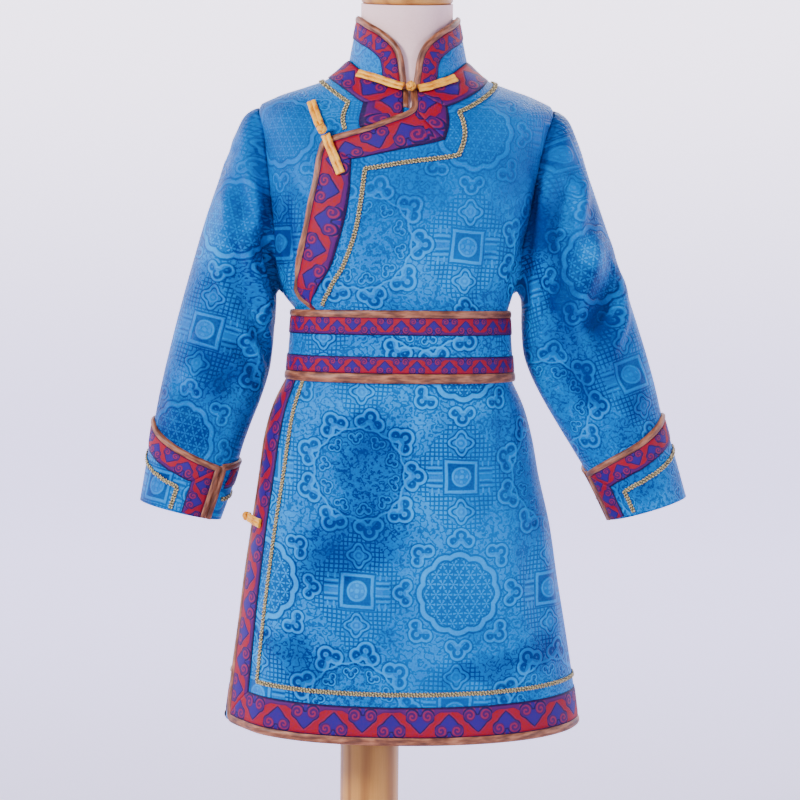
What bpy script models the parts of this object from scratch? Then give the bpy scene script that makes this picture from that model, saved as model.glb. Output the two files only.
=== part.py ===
# A child's Mongolian deel robe, belted on a limbless dress form that stands on a wooden post.
# Metres, +Z up, the front faces -Y. The origin is on the floor, under the middle of the robe.
#
# Every piece of cloth is cut flat on a pattern and draped on a surface. A surface is a grid of
# points: i counts its columns, j its rows, and lift is a height above it along its normal.
import math

import bmesh
import bpy
import numpy as np

WALL = 0.0015
GAP = 0.0003
SEAM = 0.010            # half a seam's gap, in columns
LAP = WALL + GAP        # how far the outer front stands off the inner one
RIBBON = 0.0008
BRAID = 0.0016
PIPING = 0.0022
CORD = 0.0026
COLUMNS = 24
SIDE = COLUMNS // 4     # the column at a side seam; 0 is the centre front
UNDER_REACH = 1.5       # how far past the centre the under flap reaches, in columns
STANDOFF_END = 2.0      # the column from which the outer front comes down to the side seam
SLEEVE_COLUMNS = 16

PIPING_WIDTH = 0.006
HEM_PIPING_WIDTH = 0.0075
HEM_RIBBON_WIDTH = 0.0285
HEM_BRAID_START = 0.045
BRAID_WIDTH = 0.0065
NECK_RIBBON_WIDTH = 0.023
NECK_BRAID_START = 0.031
COLLAR_RIBBON_WIDTH = 0.0155
BELT_TOP_PIPING_WIDTH = 0.0062
BELT_LOW_PIPING_WIDTH = 0.0085
BELT_RIBBON_WIDTH = 0.0155
CUFF_RIBBON_WIDTH = 0.0175
CUFF_BRAID_START = 0.031
INNER_PIPING_WIDTH = 0.005
FROG_WIDTH = 0.0085
KNOT_RADIUS = 0.0052
TRIM_END = 0.03          # how far from a seam a trim stops, in rows or columns
LONGEST = 8              # the longest stretch of a path round the body, in columns
CUFF_END = 0.56          # the columns at a cuff's back end that its piping takes
CUFF_TRIMS = (
    ("piping", 0, PIPING_WIDTH, PIPING, "copper_satin"),
    ("ribbon", PIPING_WIDTH + GAP, CUFF_RIBBON_WIDTH, RIBBON, "ribbon"),
    ("braid", CUFF_BRAID_START, BRAID_WIDTH, BRAID, "gold_braid"),
)
SKIRT_TRIMS = (
    ("piping", 0, HEM_PIPING_WIDTH, PIPING, "copper_satin"),
    ("ribbon", HEM_PIPING_WIDTH + GAP, HEM_RIBBON_WIDTH, RIBBON, "ribbon"),
    ("braid", HEM_BRAID_START, BRAID_WIDTH, BRAID, "gold_braid"),
)

POST_X = -0.030
POST_RADIUS = 0.0295
BASE_RADIUS = 0.160
BASE_HEIGHT = 0.022
BASE_EDGE = 0.004
FORM_BOTTOM = 0.500
NECK_TOP = 1.0725
NECK_TILT = math.radians(10)
NECK_LENGTH = 0.035     # the straight part of the form's neck
COLLAR_CLEARANCE = 0.0024
CAP_RADIUS = 0.0455
CAP_HEIGHT = 0.016


def table(header, *rows):
    names = header.split()
    return [dict(zip(names, row)) for row in rows]


# One row for each ring of the body, from the hem up to the neck. Each ring is widest at its
# sides; its front, sides and back can be at different heights.
BODY_RINGS = table(
    "name half_width centre_x centre_y side_z front_depth front_z back_depth back_z squareness",
    ("hem", 0.1745, 0.001, -0.025, 0.3640, 0.080, 0.3550, 0.120, 0.362, 2.25),
    ("skirt_1", 0.1685, 0.001, -0.023, 0.408, 0.079, 0.403, 0.115, 0.407, 2.3),
    ("skirt_2", 0.1610, 0.001, -0.020, 0.455, 0.078, 0.454, 0.111, 0.455, 2.4),
    ("skirt_3", 0.1530, 0.000, -0.017, 0.508, 0.078, 0.507, 0.106, 0.508, 2.4),
    ("skirt_4", 0.1450, 0.000, -0.013, 0.560, 0.078, 0.560, 0.101, 0.560, 2.4),
    ("skirt_5", 0.1355, -0.002, -0.009, 0.610, 0.079, 0.610, 0.096, 0.610, 2.4),
    ("skirt_6", 0.1300, -0.003, -0.006, 0.645, 0.081, 0.645, 0.091, 0.645, 2.4),
    ("skirt_7", 0.1215, -0.003, -0.003, 0.675, 0.082, 0.675, 0.086, 0.675, 2.4),
    ("belt_low", 0.1095, -0.0025, 0.000, 0.700, 0.081, 0.700, 0.080, 0.700, 2.4),
    ("belt_top", 0.1040, -0.0025, 0.000, 0.7705, 0.081, 0.7705, 0.079, 0.7705, 2.4),
    ("underarm", 0.1130, -0.0065, 0.000, 0.7870, 0.0850, 0.7885, 0.0830, 0.7870, 2.4),
    ("rib_1", 0.1225, -0.0060, 0.000, 0.815, 0.0885, 0.811, 0.0865, 0.813, 2.4),
    ("rib_2", 0.1285, -0.0045, 0.000, 0.850, 0.0905, 0.839, 0.0885, 0.845, 2.4),
    ("chest_1", 0.1340, -0.0035, 0.000, 0.886, 0.0905, 0.867, 0.0905, 0.878, 2.4),
    ("chest_2", 0.1390, -0.0025, 0.000, 0.917, 0.0885, 0.889, 0.0895, 0.906, 2.3),
    ("chest_3", 0.1430, -0.0010, 0.000, 0.944, 0.0850, 0.909, 0.0865, 0.930, 2.2),
    ("tip", 0.1455, 0.0000, 0.000, 0.9675, 0.0805, 0.929, 0.0810, 0.952, 2.0),
    ("shoulder_3", 0.1270, 0.0000, 0.000, 0.9785, 0.0755, 0.943, 0.0755, 0.967, 2.0),
    ("shoulder_2", 0.1000, 0.0005, 0.000, 0.9880, 0.0705, 0.956, 0.0690, 0.983, 2.0),
    ("shoulder_1", 0.0780, 0.0010, 0.000, 0.9965, 0.0650, 0.968, 0.0610, 0.998, 2.0),
    ("neck", 0.0570, 0.0015, 0.000, 1.0145, 0.0555, 0.982, 0.0500, 1.016, 2.0),
)
ROW = {ring["name"]: number for number, ring in enumerate(BODY_RINGS)}
TOP = ROW["neck"]

# The collar leans in from the neck ring to this one.
COLLAR_TOP = table(
    "half_width centre_x centre_y side_z front_depth front_z back_depth back_z squareness",
    (0.0484, 0.0010, 0.000, 1.0590, 0.0500, 1.0420, 0.0490, 1.0610, 2.0),
)[0]

COLLAR_GAP = 0.00036
COLLAR_SHARES = (0.0, 0.3, 1.0)   # how far up the collar each of its rings lies

# The dress form below the belt; above it, the form follows the robe at these distances.
HIP_RINGS = table(
    "half_width centre_x centre_y side_z front_depth front_z back_depth back_z squareness",
    (0.1080, -0.002, 0.000, FORM_BOTTOM, 0.084, FORM_BOTTOM, 0.084, FORM_BOTTOM, 2.2),
    (0.1130, -0.002, 0.000, 0.545, 0.086, 0.545, 0.086, 0.545, 2.2),
    (0.1150, -0.002, 0.000, 0.600, 0.084, 0.600, 0.084, 0.600, 2.2),
    (0.1130, -0.002, 0.000, 0.650, 0.080, 0.650, 0.081, 0.650, 2.2),
)
FORM_GAPS = table(
    "ring gap",
    ("belt_low", 0.0030), ("belt_top", 0.0008), ("underarm", 0.0050), ("rib_2", 0.0060),
    ("chest_1", 0.0050), ("chest_3", 0.0030), ("tip", 0.0012), ("shoulder_3", 0.0004),
    ("shoulder_2", 0.0004), ("shoulder_1", 0.0004), ("neck", 0.0022),
)

# One row for each ring of a sleeve below the armhole: its outer and inner ends as the front
# shows them, and half its depth.
LEFT_SLEEVE = table(
    "outer_x outer_z inner_x inner_z half_depth centre_y",
    (-0.1500, 0.9660, -0.1245, 0.7905, 0.0390, 0.000),
    (-0.1575, 0.9610, -0.1285, 0.7850, 0.0425, 0.000),
    (-0.1690, 0.9380, -0.1295, 0.7740, 0.0465, 0.000),
    (-0.1830, 0.8985, -0.1300, 0.7610, 0.0480, -0.001),
    (-0.1965, 0.8580, -0.1310, 0.7470, 0.0470, -0.002),
    (-0.2085, 0.8160, -0.1320, 0.7310, 0.0450, -0.003),
    (-0.2200, 0.7740, -0.1350, 0.7090, 0.0430, -0.004),
    (-0.2310, 0.7300, -0.1430, 0.6820, 0.0410, -0.005),
    (-0.2400, 0.6900, -0.1530, 0.6560, 0.0390, -0.006),
    (-0.2455, 0.6600, -0.1610, 0.6330, 0.0370, -0.007),
    (-0.2505, 0.6250, -0.1690, 0.6030, 0.0355, -0.008),
    (-0.2580, 0.5785, -0.1835, 0.5610, 0.0345, -0.009),
)
RIGHT_SLEEVE = table(
    "outer_x outer_z inner_x inner_z half_depth centre_y",
    (0.1500, 0.9660, 0.1125, 0.7905, 0.0390, 0.000),
    (0.1575, 0.9610, 0.1165, 0.7850, 0.0425, 0.000),
    (0.1690, 0.9380, 0.1185, 0.7740, 0.0465, 0.000),
    (0.1815, 0.9010, 0.1190, 0.7610, 0.0480, -0.001),
    (0.1955, 0.8615, 0.1195, 0.7450, 0.0470, -0.002),
    (0.2095, 0.8210, 0.1215, 0.7270, 0.0450, -0.003),
    (0.2240, 0.7780, 0.1290, 0.7060, 0.0430, -0.004),
    (0.2375, 0.7370, 0.1410, 0.6830, 0.0410, -0.005),
    (0.2490, 0.6980, 0.1560, 0.6580, 0.0390, -0.006),
    (0.2570, 0.6650, 0.1710, 0.6340, 0.0370, -0.007),
    (0.2675, 0.6300, 0.1880, 0.6060, 0.0355, -0.008),
    (0.2800, 0.5870, 0.2085, 0.5650, 0.0345, -0.009),
)
# Soft folds of the sleeves, one row each. column and row are where its middle lies.
SLEEVE_FOLDS = table(
    "column row column_reach row_reach depth",
    (3.4, 5.0, 1.6, 1.7, 0.0045), (2.4, 6.8, 1.5, 1.6, -0.0040), (4.6, 7.6, 1.8, 1.6, 0.0030),
    (12.6, 5.6, 1.8, 1.7, 0.0040), (13.6, 7.4, 1.6, 1.6, -0.0030),
)
# Soft folds of the skirt, from the hem up.
SKIRT_FOLDS = table(
    "column column_reach top_row depth",
    (-7.10, 1.60, 5.4, -0.0070), (-4.50, 1.60, 5.0, -0.0080), (-2.40, 1.90, 5.0, 0.0040),
    (0.20, 1.88, 4.2, -0.0030), (3.15, 1.80, 5.4, 0.0040),
    (7.88, 1.80, 6.0, -0.0060), (10.20, 1.80, 5.0, 0.0060), (13.05, 1.88, 6.0, -0.0060),
    (15.60, 1.80, 5.0, 0.0060),
)
SLEEVE_INSET = 0.00055  # how far inside its armhole a sleeve starts
SNAP = 0.0015           # a corner this near a line between facets counts as on it
NUDGE = 0.01            # a small step on the pattern
SHIFT_STEP = 0.008      # the longest step of a path that moves sideways
ARMHOLE_REACH = 1.46    # how far an armhole reaches from the side, in columns

# Outlines on the front, as x and z seen from straight ahead.
LAP_EDGE = table(
    "x z",
    (0.0045, 0.9800), (0.0055, 0.9700), (0.0050, 0.9625), (-0.0010, 0.9585), (-0.0140, 0.9535),
    (-0.0340, 0.9455), (-0.0580, 0.9385), (-0.0700, 0.9350), (-0.0800, 0.9300),
    (-0.0825, 0.9220), (-0.0870, 0.8940), (-0.0920, 0.8700), (-0.0965, 0.8450),
    (-0.1010, 0.8200), (-0.1035, 0.8050), (-0.1050, 0.7900),
)
LAP_RIBBON = table(
    "x z",
    (0.0390, 0.9640), (0.0370, 0.9320), (-0.0050, 0.9225), (-0.0510, 0.9130),
    (-0.0525, 0.8790), (-0.0600, 0.8420), (-0.0730, 0.8050), (-0.0890, 0.7760),
)
LAP_BRAID = table(
    "x z",
    (0.0500, 0.9590), (0.0500, 0.9180), (0.0040, 0.9110), (-0.0380, 0.9040),
    (-0.0415, 0.8750), (-0.0485, 0.8380), (-0.0620, 0.8050), (-0.0770, 0.7760),
)
INNER_RIBBON = table("x z", (-0.0560, 0.9790), (-0.0410, 0.9680), (-0.0440, 0.9440))
INNER_BRAID = table("x z", (-0.0690, 0.9790), (-0.0555, 0.9690), (-0.0580, 0.9420))
LAP_FOOT = 0.02         # how far the lapped edge has turned back where the belt covers it
SLIT_X = 0.0015
SLIT_END_Z = 0.9635
UNDER_SHOULDER = 0.6    # how far below shoulder_2 the under flap turns down, in rows
RIBBON_SHOULDER = 0.05  # how far above shoulder_1 the neck ribbon meets the shoulder, in rows
BRAID_SHOULDER = 0.28   # how far below shoulder_1 the braid meets it, in rows
SKIRT_EDGE = table(
    "column row",
    (-5.70, 7.99), (-5.45, 7.0), (-5.36, 6.0), (-5.46, 5.0), (-5.56, 4.0), (-5.56, 3.0),
    (-5.56, 2.0), (-5.50, 1.0), (-5.46, 0.30), (-5.36, 0.08), (-5.14, 0.0),
)
SKIRT_CORNER = (-5.48, 0.0)
COLLAR_LEFT = table(
    "x z",
    (0.0000, 0.9850), (-0.0012, 0.9960), (-0.0030, 1.0100), (-0.0085, 1.0250),
    (-0.0235, 1.0400), (-0.0380, 1.0500),
)
COLLAR_RIGHT = table(
    "x z",
    (0.0070, 0.9850), (0.0082, 0.9960), (0.0100, 1.0100), (0.0155, 1.0250),
    (0.0300, 1.0400), (0.0430, 1.0500),
)
COLLAR_SHOULDER = 5.5   # the column where the collar's rounded front reaches its top edge

# A cuff's height above the sleeve's mouth, all round from its opening edge.
LEFT_CUFF = table(
    "column height",
    (2.1, 0.053), (3.4, 0.057), (4.8, 0.063), (6.4, 0.073), (7.6, 0.082), (8.4, 0.084),
    (9.6, 0.079), (11.2, 0.070), (13.6, 0.064), (16.0, 0.062), (18.1, 0.055),
)
RIGHT_CUFF = table(
    "column height",
    (-0.5, 0.055), (1.6, 0.062), (4.0, 0.067), (6.4, 0.076), (7.6, 0.085), (8.4, 0.086),
    (9.6, 0.079), (11.2, 0.069), (13.2, 0.061), (15.5, 0.052),
)
# Cord fastenings: where their arms and knots lie, seen from straight ahead, and how far the
# middle of the cord stands off the cloth below it.
COLLAR_FROG = table(
    "x z stand",
    (-0.0450, 0.9955, 0.0068), (-0.0340, 0.9920, 0.0068), (-0.0230, 0.9882, 0.0068),
    (-0.0120, 0.9838, 0.0070), (-0.0030, 0.9808, 0.0078),
)
COLLAR_FROG_RIGHT = table(
    "x z stand",
    (0.0115, 0.9798, 0.0065), (0.0190, 0.9820, 0.0057), (0.0290, 0.9855, 0.0055),
    (0.0380, 0.9890, 0.0055), (0.0460, 0.9925, 0.0055),
)
COLLAR_KNOT = (0.0042, 0.9798, 0.0100)
CHEST_FROG = table(
    "x z stand",
    (-0.0910, 0.9685, 0.0039), (-0.0870, 0.9580, 0.0039), (-0.0830, 0.9480, 0.0049),
    (-0.0812, 0.9440, 0.0061),
)
CHEST_FROG_LOWER = table(
    "x z stand",
    (-0.0750, 0.9345, 0.0080), (-0.0725, 0.9280, 0.0080), (-0.0650, 0.9100, 0.0066),
    (-0.0605, 0.8990, 0.0066),
)
CHEST_KNOT = (-0.0775, 0.9379, 0.0124)
# The fastening at the skirt's edge, on the pattern.
SIDE_FROG = table(
    "column row stand",
    (-4.20, 4.00, 0.0068), (-4.70, 4.02, 0.0068), (-5.10, 4.04, 0.0076), (-5.40, 4.05, 0.0088),
    (-5.62, 4.05, 0.0088),
)
SIDE_KNOT = (-5.842, 4.05, 0.0098)

FINISHES = table(
    "name colour roughness metallic",
    ("brocade", (0.020, 0.220, 0.610), 0.45, 0.0),
    ("ribbon", (0.480, 0.025, 0.110), 0.50, 0.0),
    ("copper_satin", (0.520, 0.270, 0.170), 0.35, 0.0),
    ("gold_braid", (0.500, 0.400, 0.160), 0.40, 0.6),
    ("yellow_satin", (0.950, 0.520, 0.080), 0.35, 0.0),
    ("form_cover", (0.760, 0.690, 0.660), 0.70, 0.0),
    ("pale_wood", (0.600, 0.400, 0.210), 0.45, 0.0),
)


def make_finish(name, colour, roughness, metallic):
    finish = bpy.data.materials.new(name)
    finish.use_nodes = True
    shader = finish.node_tree.nodes["Principled BSDF"]
    shader.inputs["Base Color"].default_value = (*colour, 1.0)
    shader.inputs["Roughness"].default_value = roughness
    shader.inputs["Metallic"].default_value = metallic
    finish.diffuse_color = (*colour, 1.0)
    return finish


def add_object(name, points, faces, finish):
    mesh = bpy.data.meshes.new(name)
    mesh.from_pydata([tuple(point) for point in points], [], faces)
    mesh.materials.append(bpy.data.materials[finish])
    mesh.shade_smooth()
    mesh.set_sharp_from_angle(angle=math.radians(40))
    made = bpy.data.objects.new(name, mesh)
    bpy.context.scene.collection.objects.link(made)
    return made


class Surface:
    """A grid of points that closes up round its columns, read as flat three-sided facets."""

    def __init__(self, points, first_normals=None):
        self.points = np.array(points, float)
        self.rows, self.columns = self.points.shape[:2]
        across = np.roll(self.points, -1, axis=1) - np.roll(self.points, 1, axis=1)
        along = np.gradient(self.points, axis=0)
        normals = np.cross(across, along)
        self.normals = normals / np.linalg.norm(normals, axis=2, keepdims=True)
        if first_normals is not None:
            self.normals[0] = first_normals
        self.standoff = np.zeros((self.rows, self.columns))

    def read(self, values, i, j):
        """A grid's value at a place, straight between the corners of the facet there."""
        row = min(max(int(math.floor(j)), 0), self.rows - 2)
        column = int(math.floor(i))
        right, up = i - column, j - row
        left, next_column = column % self.columns, (column + 1) % self.columns
        low, high = values[row, left], values[row + 1, next_column]
        if right >= up:
            corner = values[row, next_column]
            return low + right * (corner - low) + up * (high - corner)
        corner = values[row + 1, left]
        return low + up * (corner - low) + right * (high - corner)

    def drape(self, i, j, lift, lapped=False):
        if lapped:
            lift = lift + self.read(self.standoff, i, j)
        return self.read(self.points, i, j) + lift * self.read(self.normals, i, j)

    def normal(self, i, j):
        normal = self.read(self.normals, i, j)
        return normal / np.linalg.norm(normal)

    def slopes(self, i, j):
        """How the surface runs along its columns and its rows at a place, and its normal."""
        small = 1e-3
        j = min(max(j, small), self.rows - 1 - small)
        columnwise = (self.drape(i + small, j, 0) - self.drape(i - small, j, 0)) / small / 2
        rowwise = (self.drape(i, j + small, 0) - self.drape(i, j - small, 0)) / small / 2
        normal = np.cross(columnwise, rowwise)
        return columnwise, rowwise, normal / np.linalg.norm(normal)

    def find(self, x, z):
        """The place on the surface's front that lies at x and z, seen from straight ahead."""
        for row in range(self.rows - 1):
            for column in range(-SIDE - 1, SIDE + 1):
                for corners in (((0, 0), (1, 0), (1, 1)), ((0, 0), (1, 1), (0, 1))):
                    places = [(column + right, row + up) for right, up in corners]
                    flat = [self.points[j, i % self.columns] for i, j in places]
                    shares = inside(flat, x, z)
                    if shares is not None and sum(point[1] for point in flat) < 0:
                        return (
                            sum(share * i for share, (i, j) in zip(shares, places)),
                            sum(share * j for share, (i, j) in zip(shares, places)),
                        )
        return None

    def row_below(self, i, height):
        """The row at this height above the last row, measured along a column."""
        j = self.rows - 1.0
        step = 0.02
        reached = 0.0
        while reached < height:
            reached += np.linalg.norm(self.drape(i, j, 0) - self.drape(i, j - step, 0))
            j -= step
        return j


def inside(corners, x, z):
    """A point's shares of a triangle's corners, or None where it lies outside."""
    (ax, _, az), (bx, _, bz), (cx, _, cz) = corners
    area = (bx - ax) * (cz - az) - (cx - ax) * (bz - az)
    if abs(area) < 1e-12:
        return None
    second = ((x - ax) * (cz - az) - (cx - ax) * (z - az)) / area
    third = ((bx - ax) * (z - az) - (x - ax) * (bz - az)) / area
    shares = (1 - second - third, second, third)
    return shares if min(shares) > -1e-9 else None


def quarter(squareness, steps):
    """Sine and cosine pairs that part a rounded quarter into stretches of one length."""
    angles = np.linspace(0, math.pi / 2, 200)
    power = 2 / squareness
    across, ahead = np.sin(angles) ** power, np.cos(angles) ** power
    lengths = np.concatenate([[0], np.cumsum(np.hypot(np.diff(across), np.diff(ahead)))])
    wanted = np.linspace(0, lengths[-1], steps + 1)
    return np.interp(wanted, lengths, across), np.interp(wanted, lengths, ahead)


def ring_points(ring, columns=COLUMNS):
    """A ring's points, from the centre front round by +X."""
    steps = columns // 4
    across, ahead = quarter(ring["squareness"], steps)
    points = []
    for column in range(columns):
        turn, step = divmod(column, steps)
        if turn % 2:
            side, reach = across[steps - step], ahead[steps - step]
        else:
            side, reach = across[step], ahead[step]
        front = turn in (0, 3)
        x = ring["centre_x"] + ring["half_width"] * side * (1 if turn < 2 else -1)
        depth = ring["front_depth"] if front else ring["back_depth"]
        y = ring["centre_y"] + depth * reach * (-1 if front else 1)
        end_z = ring["front_z"] if front else ring["back_z"]
        z = end_z + (ring["side_z"] - end_z) * side ** 2
        points.append((x, y, z))
    return points


def bump(distance, reach):
    """A soft rise that is 1 at no distance and 0 from its reach on."""
    return math.cos(math.pi / 2 * distance / reach) ** 2 if abs(distance) < reach else 0.0


def make_body():
    """The robe's body, with the stand-off that lets the outer front lie on the inner one."""
    points = np.array([ring_points(ring) for ring in BODY_RINGS])
    body = Surface(points)
    for row in range(body.rows):
        for column in range(COLUMNS):
            near = column if column <= COLUMNS // 2 else column - COLUMNS
            for fold in SKIRT_FOLDS:
                share = max(0.0, 1 - row / fold["top_row"])
                push = bump((column - fold["column"] + 12) % COLUMNS - 12, fold["column_reach"])
                points[row, column] += body.normals[row, column] * fold["depth"] * share * push
            if near >= -SIDE - 1:
                fall = min(1.0, max(0.0, (SIDE - near) / (SIDE - STANDOFF_END)))
            else:
                fall = max(0.0, 1 + (near + SIDE + 1) / 2)
            body.standoff[row, column] = LAP * fall * (0.0 if row == TOP else 1.0)
    draped = Surface(points)
    draped.standoff = body.standoff
    return draped


def make_collar(body):
    """The collar's surface, which starts on the body's last ring and shares its normals."""
    foot = body.points[TOP] + np.array([0, 0, COLLAR_GAP])
    head = np.array(ring_points(COLLAR_TOP))
    rings = [foot + (head - foot) * share for share in COLLAR_SHARES]
    return Surface(rings, body.normals[TOP])


def armhole(side):
    """An armhole's outline on the body's pattern, from under the arm up its front and back."""
    middle = (ROW["underarm"] + ROW["tip"]) / 2
    reach = (ROW["tip"] - ROW["underarm"]) / 2
    outline = []
    for step in range(SLEEVE_COLUMNS):
        turn = 2 * math.pi * step / SLEEVE_COLUMNS
        across = math.copysign(abs(math.sin(turn)) ** 0.75, math.sin(turn))
        outline.append((side * SIDE - ARMHOLE_REACH * across, middle - reach * math.cos(turn)))
    return outline


def make_sleeve(body, side, rings):
    """A sleeve's surface. Its first ring lies just inside the armhole and shares its normals."""
    hole = [(2 * side * SIDE - i, j) for i, j in armhole(side)]
    middle_j = (ROW["underarm"] + ROW["tip"]) / 2
    edge = []
    normals = []
    for i, j in hole:
        inward = (side * SIDE - i, middle_j - j)
        nudged = body.drape(i + NUDGE * inward[0], j + NUDGE * inward[1], 0)
        shift = NUDGE * SLEEVE_INSET / np.linalg.norm(nudged - body.drape(i, j, 0))
        i, j = i + shift * inward[0], j + shift * inward[1]
        edge.append(body.drape(i, j, 0))
        normals.append(body.normal(i, j))
    grid = [edge]
    for number, ring in enumerate(rings, 1):
        outer = np.array([ring["outer_x"], ring["centre_y"], ring["outer_z"]])
        inner = np.array([ring["inner_x"], ring["centre_y"], ring["inner_z"]])
        loop = []
        for column in range(SLEEVE_COLUMNS):
            turn = 2 * math.pi * column / SLEEVE_COLUMNS
            point = (outer + inner) / 2 - (outer - inner) / 2 * math.cos(turn)
            point = point + np.array([0, side * ring["half_depth"] * math.sin(turn), 0])
            out = np.array([0.0, side * math.sin(turn), 0.0])
            for fold in SLEEVE_FOLDS:
                apart = (column - fold["column"] + 8) % SLEEVE_COLUMNS - 8
                push = bump(apart, fold["column_reach"]) * bump(number - fold["row"], fold["row_reach"])
                point = point + out * push * fold["depth"]
            loop.append(point)
        grid.append(loop)
    return Surface(grid, normals)


def cut(outline, clip=()):
    """A flat piece of pattern, cut along every line between facets."""
    flat = bmesh.new()
    turn = sum(a[0] * b[1] - b[0] * a[1] for a, b in zip(outline, outline[1:] + outline[:1]))
    if turn < 0:
        outline = outline[::-1]
    flat.faces.new([flat.verts.new((i, j, 0)) for i, j in outline])
    flat.normal_update()
    bmesh.ops.triangulate(flat, faces=flat.faces[:], ngon_method="EAR_CLIP")
    for point, normal in clip:
        bisect(flat, (*point, 0), (*normal, 0), True)
    ends = [(vert.co.x, vert.co.y, vert.co.x - vert.co.y) for vert in flat.verts]
    normals = ((1, 0, 0), (0, 1, 0), (1, -1, 0))
    for axis, normal in enumerate(normals):
        values = [end[axis] for end in ends]
        for line in range(math.ceil(min(values)), math.floor(max(values)) + 1):
            point = (0, line, 0) if axis == 1 else (line, 0, 0)
            bisect(flat, point, normal, False)
    join_facets(flat)
    return flat


def join_facets(flat):
    """Joins the faces that lie on one facet of the surface."""
    facets = {}
    for face in flat.faces:
        middle = face.calc_center_median()
        column, row = math.floor(middle.x), math.floor(middle.y)
        facets[face] = (column, row, middle.x - column > middle.y - row)
    inner = [edge for edge in flat.edges if len(edge.link_faces) == 2]
    spare = [edge for edge in inner if len({facets[face] for face in edge.link_faces}) == 1]
    bmesh.ops.dissolve_edges(flat, edges=spare, use_verts=False)
    loose = [vert for vert in flat.verts if len(vert.link_edges) == 2 and not vert.is_boundary]
    bmesh.ops.dissolve_verts(flat, verts=loose)


def bisect(flat, point, normal, clear):
    everything = flat.verts[:] + flat.edges[:] + flat.faces[:]
    bmesh.ops.bisect_plane(
        flat, geom=everything, dist=SNAP, plane_co=point, plane_no=normal, clear_outer=clear
    )


def raise_piece(name, surface, flat, low, high, finish, lapped=False):
    """Drapes a flat piece of pattern and gives it its wall, from one lift to the other."""
    flat.verts.index_update()
    places = [(vert.co.x, vert.co.y) for vert in flat.verts]
    count = len(places)
    points = [surface.drape(i, j, low, lapped) for i, j in places]
    points += [surface.drape(i, j, high, lapped) for i, j in places]
    faces = []
    for face in flat.faces:
        numbers = [vert.index for vert in face.verts]
        faces.append([number + count for number in numbers])
        faces.append(numbers[::-1])
    for edge in flat.edges:
        if edge.is_boundary:
            loop = edge.link_loops[0]
            a, b = loop.vert.index, loop.link_loop_next.vert.index
            faces.append([a, b, b + count, a + count])
    flat.free()
    return add_object(name, points, faces, finish)


def panel(name, surface, outline, finish="brocade", low=0.0, high=WALL, lapped=False, clip=()):
    return raise_piece(name, surface, cut(outline, clip), low, high, finish, lapped)


def shifted(surface, path, distance):
    """A path moved to its left by a distance that is measured on the cloth, in short steps."""
    steps = max(1, math.ceil(abs(distance) / SHIFT_STEP))
    for _ in range(steps):
        path = shifted_once(surface, path, distance / steps)
    return path


def shifted_once(surface, path, distance):
    moved = []
    for number, (i, j) in enumerate(path):
        runs = [
            (path[second][0] - path[first][0], path[second][1] - path[first][1])
            for first, second in ((number - 1, number), (number, number + 1))
            if first >= 0 and second < len(path)
        ]
        ahead = np.sum([np.array(run) / math.hypot(*run) for run in runs], axis=0)
        nudge = 2 * NUDGE * np.sign(distance) * np.array([-ahead[1], ahead[0]])
        columnwise, rowwise, normal = surface.slopes(i + nudge[0], j + nudge[1])
        sides = [np.cross(normal, run_i * columnwise + run_j * rowwise) for run_i, run_j in runs]
        sides = [side / np.linalg.norm(side) for side in sides]
        offset = sides[0]
        if len(sides) == 2:
            offset = (sides[0] + sides[1]) / max(1 + np.dot(sides[0], sides[1]), 0.4)
        basis = np.stack([columnwise, rowwise], axis=1)
        step = np.linalg.lstsq(basis, offset * distance, rcond=None)[0]
        moved.append((i + step[0], j + step[1]))
    return forward(path, moved)


def forward(path, moved):
    """Leaves out each place that the shift has carried back past the one before it."""
    kept = [0]
    for number in range(1, len(path)):
        before = kept[-1]
        run = [path[number][axis] - path[before][axis] for axis in (0, 1)]
        step = [moved[number][axis] - moved[before][axis] for axis in (0, 1)]
        if run[0] * step[0] + run[1] * step[1] > 0:
            kept.append(number)
    return [moved[number] for number in kept]


def strip(name, surface, path, start, width, thickness, finish, lapped=False, clip=(), corner=()):
    """A trim of one width that follows a path, on top of the piece below it. Where the path
    turns a round corner, corner is the same path with a sharp one, for the trim's inner side."""
    near = shifted(surface, path, start)
    far = shifted(surface, list(corner) or path, start + width)
    panel(name, surface, near + far[::-1], finish, LAP, LAP + thickness, lapped, clip)


def located(surface, rows):
    return [surface.find(row["x"], row["z"]) for row in rows]


def resampled(path, spacing):
    """A path with extra points, so that no stretch is longer than the spacing."""
    dense = [path[0]]
    for (a, b), (c, d) in zip(path, path[1:]):
        parts = max(1, math.ceil(math.hypot(c - a, d - b) / spacing))
        dense += [(a + (c - a) * n / parts, b + (d - b) * n / parts) for n in range(1, parts + 1)]
    return dense


def level(start, end, row):
    return [(start, row), (end, row)]


def above(row):
    return ((0, row), (0, -1))


def below(row):
    return ((0, row), (0, 1))


def lapped_edge(body):
    """The outer front's edge, from the neck across the chest and down to the belt."""
    lap = located(body, LAP_EDGE)
    lap[0] = (lap[0][0], TOP)
    return lap + [(lap[-2][0] + LAP_FOOT, ROW["belt_top"])]


def half_hole(side, front):
    """Half of an armhole's outline, from under the arm up to the shoulder."""
    half = armhole(1)[: SLEEVE_COLUMNS // 2 + 1]
    if front:
        return [(side * i, j) for i, j in half]
    return [(side * (2 * SIDE - i), j) for i, j in half]


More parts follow.
